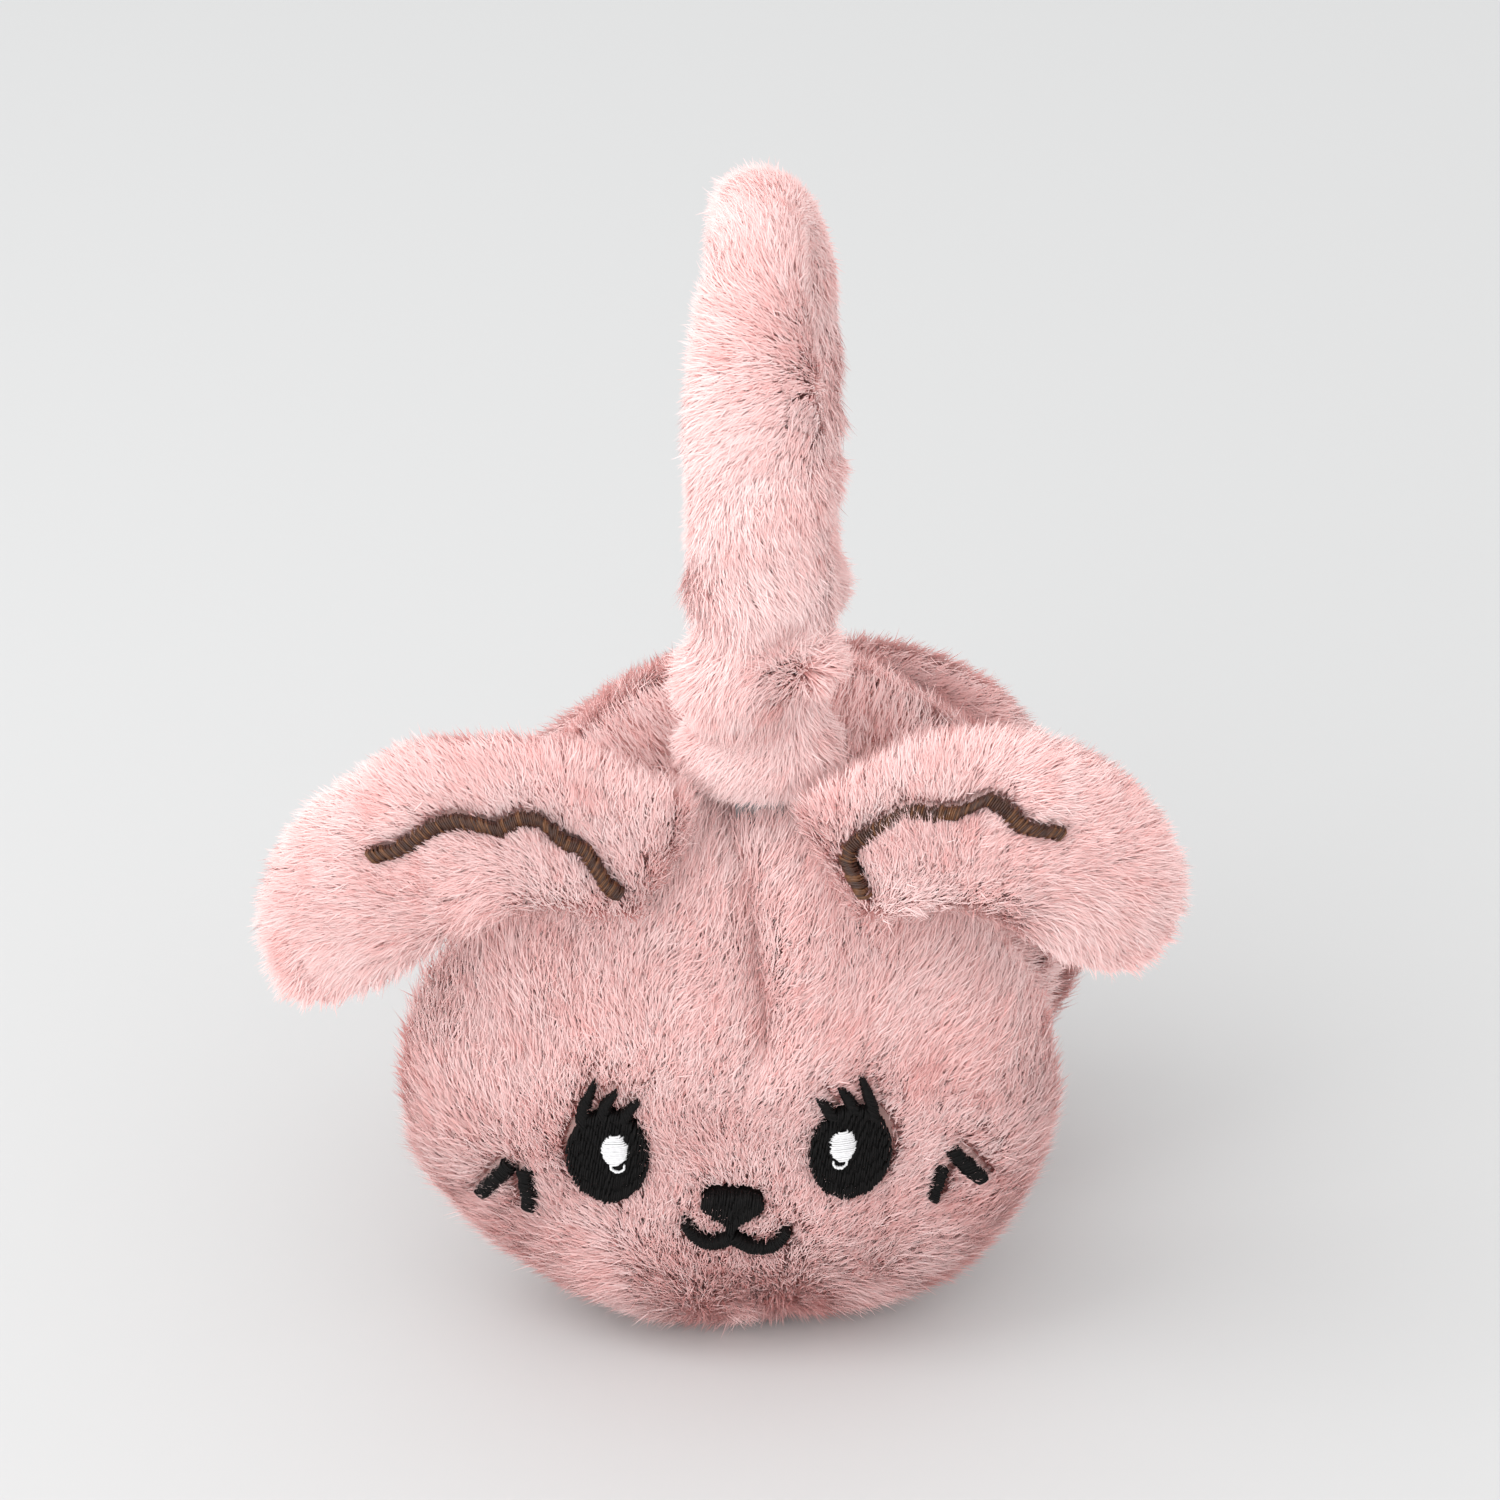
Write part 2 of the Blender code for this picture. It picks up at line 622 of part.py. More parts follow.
def make_side_channel(side, body, mats):
    """The guide that the arm slides in, round at the shoulder and slotted for the stop rivet."""
    radius = CHANNEL_THICK / 2
    arc = [(radius * math.cos(a), -radius * math.sin(a)) for a in (math.pi * i / 8 for i in range(9))]
    outline = [(out, along) for out, along in arc] + [(-radius, CHANNEL_LENGTH), (radius, CHANNEL_LENGTH)]
    half = CASING_WIDTH / 2
    rings = [[side.leg(x, out, along) for out, along in outline] for x in (-half, half)]
    channel = add_object(f"{side.name}_side_channel", closed_mesh(rings), mats["plastic"], body)
    w, t = ARM_WIDTH / 2 + GAP, ARM_THICK / 2 + GAP
    bore = box_rings(side.leg, (-w, w), (-t, t), (CHANNEL_ROOF, CHANNEL_LENGTH + 1 * MM))
    combine(channel, add_cutter(f"{side.name}_channel_bore", closed_mesh(bore), body))
    rivet = ARM_TOP + RIVET_BELOW_ARM_TOP
    slot_half = RIVET_RADIUS + GAP
    slot = box_rings(
        side.leg,
        (-slot_half, slot_half),
        (0, CHANNEL_THICK),
        (rivet - slot_half, rivet + EXTENSION + slot_half),
    )
    combine(channel, add_cutter(f"{side.name}_channel_slot", closed_mesh(slot), body))


def make_arm(side, body, mats):
    """The sliding arm: a flat bar with a round boss for the cup's pivot pin at its foot."""
    w, t = ARM_WIDTH / 2, ARM_THICK / 2
    bar = box_rings(side.leg, (-w, w), (-t, t), (ARM_TOP, side.leg_length - 2 * MM))
    arm = add_object(f"{side.name}_slider_arm", closed_mesh(bar), mats["plastic"], body)
    boss = cylinder_across(side.pivot, BOSS_RADIUS, -BOSS_HALF_WIDTH, BOSS_HALF_WIDTH)
    combine(arm, add_cutter(f"{side.name}_boss", closed_mesh(boss), body), "UNION")
    reach = BOSS_HALF_WIDTH + 1 * MM
    hole = cylinder_across(side.pivot, PIN_RADIUS + GAP, -reach, reach)
    combine(arm, add_cutter(f"{side.name}_boss_hole", closed_mesh(hole), body))
    along = ARM_TOP + RIVET_BELOW_ARM_TOP
    rivet_hole = leg_cylinder(side, along, RIVET_RADIUS + GAP, -2 * MM, 2 * MM)
    combine(arm, add_cutter(f"{side.name}_rivet_hole", closed_mesh(rivet_hole), body))


def leg_cylinder(side, along, radius, out0, out1, sides=12):
    """Rings of a cylinder that stands out of the leg."""
    circle = ellipse(radius, radius, sides)
    return [[side.leg(x, out, along + down) for x, down in circle] for out in (out0, out1)]


def make_stop_rivet(side, body, mats):
    along = ARM_TOP + RIVET_BELOW_ARM_TOP
    rings = leg_cylinder(side, along, RIVET_RADIUS, -ARM_THICK / 2, CHANNEL_THICK / 2)
    add_object(f"{side.name}_stop_rivet", closed_mesh(rings), mats["steel"], body)


def make_pivot_pin(side, body, mats):
    """A pin with a head outside each lug of the cup's base plate."""
    inner = LUG_INSIDE + LUG_THICK + GAP
    outer = inner + 1 * MM
    levels = (
        (-outer, PIN_HEAD_RADIUS),
        (-inner, PIN_HEAD_RADIUS),
        (-inner, PIN_RADIUS),
        (inner, PIN_RADIUS),
        (inner, PIN_HEAD_RADIUS),
        (outer, PIN_HEAD_RADIUS),
    )
    rings = [cylinder_across(side.pivot, radius, x, x)[0] for x, radius in levels]
    add_object(f"{side.name}_pivot_pin", closed_mesh(rings), mats["steel"], body)


def leg_sections(side, size, start, end, count):
    rings = []
    for i in range(count):
        along = start + (end - start) * i / (count - 1)
        rings.append([side.leg(x, out, along) for x, out in size(i / (count - 1))])
    return rings


def make_leg_sleeve(side, body, mats):
    """The gathered fur tube over the channel, in soft folds, for the arm to draw out."""

    def gathered(part):
        fold = 1 + SLEEVE_FOLD_SIZE * math.sin(2 * math.pi * SLEEVE_FOLDS * part) * math.sin(math.pi * part)
        return ellipse(SHOULDER_HALF_WIDTH * fold, SHOULDER_HALF_THICK * fold)

    ends = (SLEEVE_CLEAR, CHANNEL_LENGTH, 13)
    bore = ellipse(SLEEVE_BORE_WIDTH, SLEEVE_BORE_THICK)
    rings = tube_rings(leg_sections(side, gathered, *ends), leg_sections(side, lambda _: bore, *ends))
    add_object(f"{side.name}_leg_fur_sleeve", closed_mesh(rings, looped=True), mats["fur"], body)


def make_hem(side, body, mats):
    """The rolled end of the sleeve, where the arm enters the cup."""

    def rolled(part):
        round_off = 0.9 + 0.1 * math.sin(math.pi * part)
        return ellipse(13 * MM * round_off, 10.5 * MM * round_off)

    bore = ellipse(6 * MM, 3 * MM)
    ends = (HEM_TOP, HEM_TOP + HEM_LENGTH, 5)
    rings = tube_rings(leg_sections(side, rolled, *ends), leg_sections(side, lambda _: bore, *ends))
    add_object(f"{side.name}_sleeve_hem", closed_mesh(rings, looped=True), mats["fur"], body)


SIDES = (Side("front", -1), Side("back", 1))


def make_cup(side, cup, mats):
    arm_clearance = make_arm_clearance(side, cup)
    head_clearance = make_head_clearance(side, cup)
    face = make_face_panel(side, cup, mats)
    rear = make_rear_panel(side, cup, mats)
    stuffing = make_stuffing(side, cup, mats)
    for obj in (face, rear, stuffing):
        combine(obj, arm_clearance)
    make_ear_pad(side, cup, mats)
    make_base_plate(side, cup, mats)
    for name in EAR_ROUTES:
        if name.startswith(side.name):
            ear = Ear(side, name)
            ear.make(cup, mats, head_clearance)
            ear.make_line(cup, mats)
    make_face_embroidery(side, cup, mats)


def main():
    clear_scene()
    mats = make_materials()
    crown = body_empty("crown_body", Vector((BAND_X, 0, BAND_CENTRE_Z)))
    make_crown(crown, mats)
    for side in SIDES:
        leg = body_empty(f"{side.name}_side_body", side.shoulder, crown)
        make_side_channel(side, leg, mats)
        make_leg_sleeve(side, leg, mats)
        arm = body_empty(f"{side.name}_arm_body", side.pivot, leg)
        make_arm(side, arm, mats)
        make_stop_rivet(side, arm, mats)
        make_pivot_pin(side, arm, mats)
        make_hem(side, arm, mats)
        cup = body_empty(f"{side.name}_cup_body", side.pivot, arm)
        make_cup(side, cup, mats)


main()
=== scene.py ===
import math

import bmesh
import bpy
import numpy as np
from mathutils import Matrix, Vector
from mathutils.bvhtree import BVHTree


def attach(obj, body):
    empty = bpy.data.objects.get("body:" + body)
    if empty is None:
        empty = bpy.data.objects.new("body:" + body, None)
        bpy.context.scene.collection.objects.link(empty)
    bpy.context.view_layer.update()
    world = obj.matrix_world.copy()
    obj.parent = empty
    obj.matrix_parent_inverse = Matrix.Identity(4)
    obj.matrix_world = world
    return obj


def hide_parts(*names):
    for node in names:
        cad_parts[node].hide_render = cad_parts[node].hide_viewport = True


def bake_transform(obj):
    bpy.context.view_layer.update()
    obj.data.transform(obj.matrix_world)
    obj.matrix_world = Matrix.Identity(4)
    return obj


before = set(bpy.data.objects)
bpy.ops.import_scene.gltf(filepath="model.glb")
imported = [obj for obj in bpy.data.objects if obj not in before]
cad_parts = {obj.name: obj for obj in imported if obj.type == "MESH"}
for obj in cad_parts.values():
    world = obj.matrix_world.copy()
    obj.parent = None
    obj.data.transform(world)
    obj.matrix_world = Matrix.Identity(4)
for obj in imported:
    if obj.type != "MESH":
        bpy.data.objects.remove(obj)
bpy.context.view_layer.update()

# Shapes are worked out in millimetres and written to meshes in metres.
MM = 0.001
rng = np.random.default_rng(21)

# Cups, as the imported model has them
BAND_X = 6.3
CUP_HALF_WIDTH = 60.5
CUP_WIDEST_Z = 51.0
CUP_ABOVE, CUP_TOP_POWER = 67.0, 1.8
CUP_BELOW, CUP_LOW_POWER = 54.0, 2.0
CUP_RIM = 29.0
FACE_BULGE = 28.5
REAR_DEPTH = 19.0
PAD_REACH = 0.69
PAD_FACE, PAD_CROWN, PAD_BACK = 3.0, 9.0, 15.6

# Band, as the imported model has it
BAND_RADIUS = 40.0
BAND_CENTRE_Z = 176.5
PIVOT_Z = 58.0
TO_PIVOT = math.hypot(CUP_RIM, BAND_CENTRE_Z - PIVOT_Z)
LEG_TILT = math.atan2(BAND_CENTRE_Z - PIVOT_Z, CUP_RIM) - math.acos(BAND_RADIUS / TO_PIVOT)
CROWN_ARC = BAND_RADIUS * (math.pi / 2 + LEG_TILT)  # from the apex to a shoulder
SHOULDER_HALF = np.array([15.0, 10.0])
APEX_HALF = np.array([7.5, 7.2])

# Fur
CUP_INSET = 5.2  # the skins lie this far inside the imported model's soft shapes
EAR_INSET = 5.6
STITCH_SINK = 0.3  # top of the stitching, below those shapes
STRANDS = {"face": 230000, "rear": 110000, "pad": 50000, "ear": 60000, "band": 88000, "hem": 22000}
LENGTH = {"face": 8.6, "rear": 8.0, "pad": 1.7, "ear": 7.8, "hem": 7.4, "crown": 5.4}
BAND_INSET = np.array([5.0, 4.2])  # across and out
SLEEVE_SPLIT = 42.0  # from the apex to where the shoulder's bending fur starts

# Studio
CAMERA_LENS = 116.7
CAMERA_AWAY = 0.95
CAMERA_TURN, CAMERA_RISE = math.radians(2), math.radians(28)
PHOTO_SIZE = 1500
CAMERA_SHIFT = -16 / PHOTO_SIZE, 60 / PHOTO_SIZE
FLOOR_HALF = 20.0
FLOOR_COLOUR = (0.595, 0.599, 0.6)
WORLD_STRENGTH = 1.12

EAR_ROUTES = {
    "front_ear_left": [(-14, 51, 111), (-42, 54, 126), (-68, 54, 119), (-80, 47, 79)],
    "front_ear_right": [(21, 51.6, 112), (45, 54.4, 128), (66, 54, 123), (74, 47, 90)],
    "back_ear_left": [(-12, 50, 94), (-27, 54, 96), (-44, 53, 74), (-62, 45, 44)],
    "back_ear_right": [(13, 50, 90), (26, 54, 86), (44, 53, 64), (66, 45, 40)],
}
EAR_HALF_WIDTH = 19.5
EAR_HALF_THICK = 9.0
EAR_LEAN = math.radians(17)


def unit(v):
    return v / np.maximum(np.linalg.norm(v, axis=-1, keepdims=True), 1e-9)


def dot(a, b):
    return np.sum(a * b, axis=-1, keepdims=True)


def waves(p, size, seed, count=5):
    """Smooth noise between about -1 and 1, with bumps of about that size in mm."""
    own = np.random.default_rng(seed)
    total = np.zeros(len(p))
    for _ in range(count):
        way = unit(own.normal(size=3)) * (2 * math.pi / (size * own.uniform(1.2, 2.6)))
        total += np.sin(p @ way + own.uniform(0, 2 * math.pi))
    return total / math.sqrt(count)


def drift(p, size, seed):
    return np.stack([waves(p, size, seed + k) for k in range(3)], -1)


# ---------------------------------------------------------------- soft shapes


class Cup:
    """One padded head: sign -1 faces -Y, +1 faces +Y. Its own frame is x, out, z."""

    def __init__(self, name, sign, shift):
        self.name = name
        self.sign = sign
        self.shift = shift
        self.body = f"{name}_cup"
        self.flip = np.array([-sign, sign, 1.0])

    def world(self, p):
        p = np.asarray(p, float)
        return (p + [self.shift, 0, 0]) * self.flip + [BAND_X, 0, 0]

    def local(self, p):
        return (p - [BAND_X, 0, 0]) * self.flip - [self.shift, 0, 0]


def outline_half(up):
    upper = up > 0
    return np.where(upper, CUP_ABOVE, CUP_BELOW), np.where(upper, CUP_TOP_POWER, CUP_LOW_POWER)


def reach_of(x, z):
    height, power = outline_half(z - CUP_WIDEST_Z)
    across, up = np.abs(x / CUP_HALF_WIDTH), np.abs((z - CUP_WIDEST_Z) / height)
    return (across**power + up**power) ** (1 / power)


def dome(reach):
    return np.maximum(0, 1 - reach**2.5) ** 0.55


def face_out(x, z):
    return CUP_RIM + FACE_BULGE * dome(reach_of(x, z))


def cup_rings(levels, columns=112):
    """Rings of the cup's outline, in the cup's frame, for (reach, out) levels."""
    turn = (np.arange(columns) + 0.5) * 2 * math.pi / columns
    height, power = outline_half(np.sin(turn))
    x = np.abs(np.cos(turn)) ** (2 / power) * np.sign(np.cos(turn))
    up = np.abs(np.sin(turn)) ** (2 / power) * np.sign(np.sin(turn))
    rings = []
    for reach, out in levels:
        z = np.maximum(CUP_WIDEST_Z + reach * height * up, 0)
        rings.append(np.stack([reach * CUP_HALF_WIDTH * x, np.full(columns, out), z], -1))
    return np.array(rings)


def add_mesh(name, points, faces, materials=()):
    mesh = bpy.data.meshes.new(name)
    mesh.from_pydata((np.asarray(points).reshape(-1, 3) * MM).tolist(), [], faces)
    bm = bmesh.new()
    bm.from_mesh(mesh)
    bmesh.ops.recalc_face_normals(bm, faces=bm.faces)
    if bm.calc_volume(signed=True) < 0:
        bmesh.ops.reverse_faces(bm, faces=bm.faces)
    bm.to_mesh(mesh)
    bm.free()
    mesh.shade_smooth()
    for material in materials:
        mesh.materials.append(material)
    obj = bpy.data.objects.new(name, mesh)
    bpy.context.scene.collection.objects.link(obj)
    return obj


def ring_faces(rows, columns, start=0):
    """Quads of a tube of rings, with a cap at each end."""
    faces = []
    for i in range(rows - 1):
        for j in range(columns):
            k = (j + 1) % columns
            low, high = start + i * columns, start + (i + 1) * columns
            faces.append((low + j, low + k, high + k, high + j))
    faces.append(tuple(range(start, start + columns)))
    faces.append(tuple(range(start + (rows - 1) * columns, start + rows * columns)))
    return faces


def tube(name, rings, material, inset=0.0):
    """A closed soft shape from rings in world mm, drawn in by `inset` along its normals."""
    obj = add_mesh(name, rings, ring_faces(rings.shape[0], rings.shape[1]), [material])
    if inset:
        shift_along_normals(obj, -inset)
    return obj


def arrays_of(obj):
    """Points (mm), vertex normals and triangles of a mesh object."""
    mesh = obj.data
    points = np.empty(len(mesh.vertices) * 3)
    mesh.vertices.foreach_get("co", points)
    normals = np.empty(len(mesh.vertices) * 3)
    mesh.vertex_normals.foreach_get("vector", normals)
    mesh.calc_loop_triangles()
    tris = np.empty(len(mesh.loop_triangles) * 3, int)
    mesh.loop_triangles.foreach_get("vertices", tris)
    return points.reshape(-1, 3) / MM, normals.reshape(-1, 3), tris.reshape(-1, 3)


def set_points(obj, points):
    obj.data.vertices.foreach_set("co", (points * MM).astype(np.float32).ravel())
    obj.data.update()


def shift_along_normals(obj, amount):
    points, normals, _ = arrays_of(obj)
    amount = np.asarray(amount, float)
    set_points(obj, points + normals * (amount[:, None] if amount.ndim else amount))


class Ear:
    def __init__(self, cup, name):
        self.cup = cup
        self.name = name
        self.route = np.array(EAR_ROUTES[name], float)
        self.facing = np.array([0, math.cos(EAR_LEAN), math.sin(EAR_LEAN)])

    def middle(self, t):
        t = np.asarray(t, float)[..., None]
        u = 1 - t
        a, b, c, d = self.route
        return a * u**3 + b * (3 * u * u * t) + c * (3 * u * t * t) + d * t**3

    def frame(self, t):
        t = np.asarray(t, float)
        ahead = unit(self.middle(np.minimum(1, t + 0.01)) - self.middle(np.maximum(0, t - 0.01)))
        out = unit(self.facing - ahead * dot(self.facing, ahead))
        across = np.cross(out, ahead)
        return ahead, across * np.where(across[..., 2:] < 0, -1, 1), out

    def half(self, t):
        wide = 0.85 + 0.15 * np.minimum(1, t / 0.45)
        wide = wide * np.sqrt(np.maximum(0, 1 - (np.maximum(0, t - 0.66) / 0.34) ** 2.2))
        thick = 0.72 + 0.28 * np.minimum(1, t / 0.5)
        thick = thick * np.sqrt(np.maximum(0, 1 - (np.maximum(0, t - 0.72) / 0.28) ** 2))
        return EAR_HALF_WIDTH * wide, EAR_HALF_THICK * thick

    def rings(self, inset, rows=44, columns=44):
        t = 0.97 * np.sin(np.linspace(0, math.pi / 2, rows))
        wide, thick = self.half(t)
        wide, thick = np.maximum(wide - inset, 0.8), np.maximum(thick - inset, 0.6)
        _, across, out = self.frame(t)
        turn = np.arange(columns) * 2 * math.pi / columns
        w = wide[:, None, None] * np.cos(turn)[None, :, None]
        h = thick[:, None, None] * np.sin(turn)[None, :, None]
        return self.cup.world(self.middle(t)[:, None] + across[:, None] * w + out[:, None] * h)

    def surface(self, t, q):
        """Point and normal, in world mm, of the broad face: q runs across from -1 to 1."""
        t, q = np.maximum(t, 0.015), np.asarray(q, float)
        wide, thick = self.half(t)
        _, across, out = self.frame(t)
        rise = np.sqrt(np.maximum(0.02, 1 - q**2))
        point = self.middle(t) + across * (q * wide)[..., None] + out * (thick * rise)[..., None]
        slope = (thick * q / (rise * wide))[..., None]
        return self.cup.world(point), unit(out + across * slope) * self.cup.flip


def band_frame(sign, along):
    """Centre, downward and outward directions, and half sizes, `along` mm from the apex."""
    along = np.asarray(along, float)
    turn = np.minimum(along, CROWN_ARC) / BAND_RADIUS
    leg = np.maximum(along - CROWN_ARC, 0)[..., None]
    zero = np.zeros_like(turn)
    outward = np.stack([zero, sign * np.sin(turn), np.cos(turn)], -1)
    down = np.stack([zero, sign * np.cos(turn), -np.sin(turn)], -1)
    centre = outward * BAND_RADIUS + [BAND_X, 0, BAND_CENTRE_Z] + down * leg
    slope = np.abs(np.sin(turn))[..., None]
    half = APEX_HALF + (SHOULDER_HALF - APEX_HALF) * slope
    return centre, down, outward, half


def band_rings(sign, start, end, rows, inset, columns=40):
    along = np.linspace(start, end, rows)
    centre, _, outward, half = band_frame(sign, along)
    room = np.array([4.7, 2.9]) + np.array([2.4, 1.2]) * np.clip(along / CROWN_ARC, 0, 1)[:, None]
    half = np.maximum(half - inset, room)
    turn = np.arange(columns) * 2 * math.pi / columns
    x = half[:, :1] * np.cos(turn)
    out = half[:, 1:] * np.sin(turn)
    rings = centre[:, None] + outward[:, None] * out[..., None]
    rings[..., 0] += x
    return rings


# ---------------------------------------------------------------- materials


def node_material(name, colour, roughness, metallic=0.0):
    material = bpy.data.materials.new(name)
    material.use_nodes = True
    shader = material.node_tree.nodes["Principled BSDF"]
    shader.inputs["Base Color"].default_value = (*colour, 1)
    shader.inputs["Roughness"].default_value = roughness
    shader.inputs["Metallic"].default_value = metallic
    return material, shader


def patterned(name, low, high, roughness, scale, bump, metallic=0.0, stretch=(1, 1, 1), shine=0.5):
    """A material whose colour, roughness and fine relief follow one noise."""
    material, shader = node_material(name, low, roughness[0], metallic)
    shader.inputs["Specular IOR Level"].default_value = shine
    nodes, links = material.node_tree.nodes, material.node_tree.links
    place = nodes.new("ShaderNodeTexCoord")
    mapping = nodes.new("ShaderNodeMapping")
    mapping.inputs["Scale"].default_value = stretch
    noise = nodes.new("ShaderNodeTexNoise")
    noise.inputs["Scale"].default_value = scale
    noise.inputs["Detail"].default_value = 6.0
    colours = nodes.new("ShaderNodeValToRGB")
    colours.color_ramp.elements[0].position = 0.3
    colours.color_ramp.elements[1].position = 0.7
    colours.color_ramp.elements[0].color = (*low, 1)
    colours.color_ramp.elements[1].color = (*high, 1)
    rough = nodes.new("ShaderNodeMapRange")
    rough.inputs["To Min"].default_value = roughness[0]
    rough.inputs["To Max"].default_value = roughness[1]
    relief = nodes.new("ShaderNodeBump")
    relief.inputs["Strength"].default_value = bump
    relief.inputs["Distance"].default_value = 0.0004
    links.new(place.outputs["Object"], mapping.inputs["Vector"])
    links.new(mapping.outputs["Vector"], noise.inputs["Vector"])
    links.new(noise.outputs["Fac"], colours.inputs["Fac"])
    links.new(noise.outputs["Fac"], rough.inputs["Value"])
    links.new(noise.outputs["Fac"], relief.inputs["Height"])
    links.new(colours.outputs["Color"], shader.inputs["Base Color"])
    links.new(rough.outputs["Result"], shader.inputs["Roughness"])
    links.new(relief.outputs["Normal"], shader.inputs["Normal"])
    return material


# Fur colours, lightest first. Strands vary among them at random; each root half also takes one tone darker,
# which is painted shade deep in the pile.
FUR_TONES = [
    (0.985, 0.748, 0.732),
    (0.975, 0.694, 0.676),
    (0.955, 0.632, 0.610),
    (0.925, 0.550, 0.526),
    (0.880, 0.472, 0.448),
]


def fur_materials():
    made = []
    for k, colour in enumerate(FUR_TONES):
        material, shader = node_material(f"fur_tone_{k}", colour, 0.70 + 0.05 * k)
        shader.inputs["Specular IOR Level"].default_value = 0.08
        made.append(material)
    return made


FUR = fur_materials()
BACKING = patterned("fur_backing", (0.82, 0.52, 0.48), (0.90, 0.62, 0.58), (0.9, 1.0), 900, 0.5)
FLEECE = patterned("pad_fleece", (0.72, 0.44, 0.41), (0.86, 0.60, 0.56), (0.88, 1.0), 700, 0.9)
BLACK_THREAD = patterned("black_thread_satin", (0.004, 0.004, 0.004), (0.009, 0.008, 0.008),
                         (0.6, 0.8), 1500, 0.25, shine=0.12)
BROWN_THREAD = patterned("brown_thread_satin", (0.030, 0.009, 0.005), (0.075, 0.024, 0.009),
                         (0.35, 0.55), 1300, 0.25)
GOLD_THREAD = patterned("golden_thread_satin", (0.085, 0.030, 0.010), (0.17, 0.065, 0.020),
                        (0.35, 0.5), 1300, 0.25)
WHITE_THREAD = patterned("white_thread_satin", (0.74, 0.73, 0.74), (0.90, 0.90, 0.91),
                         (0.3, 0.5), 1500, 0.2)
PLASTIC = patterned("moulded_plastic", (0.27, 0.27, 0.28), (0.33, 0.33, 0.34), (0.40, 0.55), 500, 0.15)
STEEL = patterned("drawn_steel", (0.50, 0.50, 0.51), (0.60, 0.60, 0.61), (0.22, 0.38), 250, 0.12, 1.0,
                  stretch=(1, 8, 8))


# ---------------------------------------------------------------- fur


def scatter(obj, count):
    """Random places over a skin, evenly by area: points (mm) and smooth normals."""
    points, normals, tris = arrays_of(obj)
    corners = points[tris]
    area = np.linalg.norm(np.cross(corners[:, 1] - corners[:, 0], corners[:, 2] - corners[:, 0]), axis=1)
    chosen = rng.choice(len(tris), count, p=area / area.sum())
    a, b = rng.random((2, count))
    over = a + b > 1
    a, b = np.where(over, 1 - a, a), np.where(over, 1 - b, b)
    weights = np.stack([1 - a - b, a, b], -1)[..., None]
    return (corners[chosen] * weights).sum(1), unit((normals[tris[chosen]] * weights).sum(1))


def strand_object(name, corners, normals, tones):
    """corners is (strands, 5, 3): root pair, middle pair, tip."""
    count = len(corners)
    mesh = bpy.data.meshes.new(name)
    mesh.vertices.add(count * 5)
    mesh.vertices.foreach_set("co", (corners * MM).astype(np.float32).ravel())
    loops = (np.arange(count)[:, None] * 5 + np.array([0, 1, 2, 3, 3, 2, 4])).astype(np.int32)
    mesh.loops.add(count * 7)
    mesh.loops.foreach_set("vertex_index", loops.ravel())
    mesh.polygons.add(count * 2)
    starts = (np.arange(count)[:, None] * 7 + np.array([0, 4])).astype(np.int32)
    mesh.polygons.foreach_set("loop_start", starts.ravel())
    # Each strand's root half takes the next darker tone: painted shade deep in the pile.
    slots = np.stack([np.minimum(tones + 1, len(FUR) - 1), tones], -1).astype(np.int32)
    mesh.polygons.foreach_set("material_index", slots.ravel())
    mesh.polygons.foreach_set("use_smooth", np.ones(count * 2, bool))
    mesh.update(calc_edges=True)
    mesh.normals_split_custom_set_from_vertices(normals.reshape(-1, 3))
    for material in FUR:
        mesh.materials.append(material)
    obj = bpy.data.objects.new(name, mesh)
    bpy.context.scene.collection.objects.link(obj)
    return obj


def strand_normals(side, along, normals):
    """Each strand's own face direction, turned towards the skin's where it lies flat."""
    facing = unit(np.cross(side, unit(along)))
    flat = np.clip(dot(facing, normals), 0, 1)
    return unit(facing + normals * flat**1.3 * 1.7)


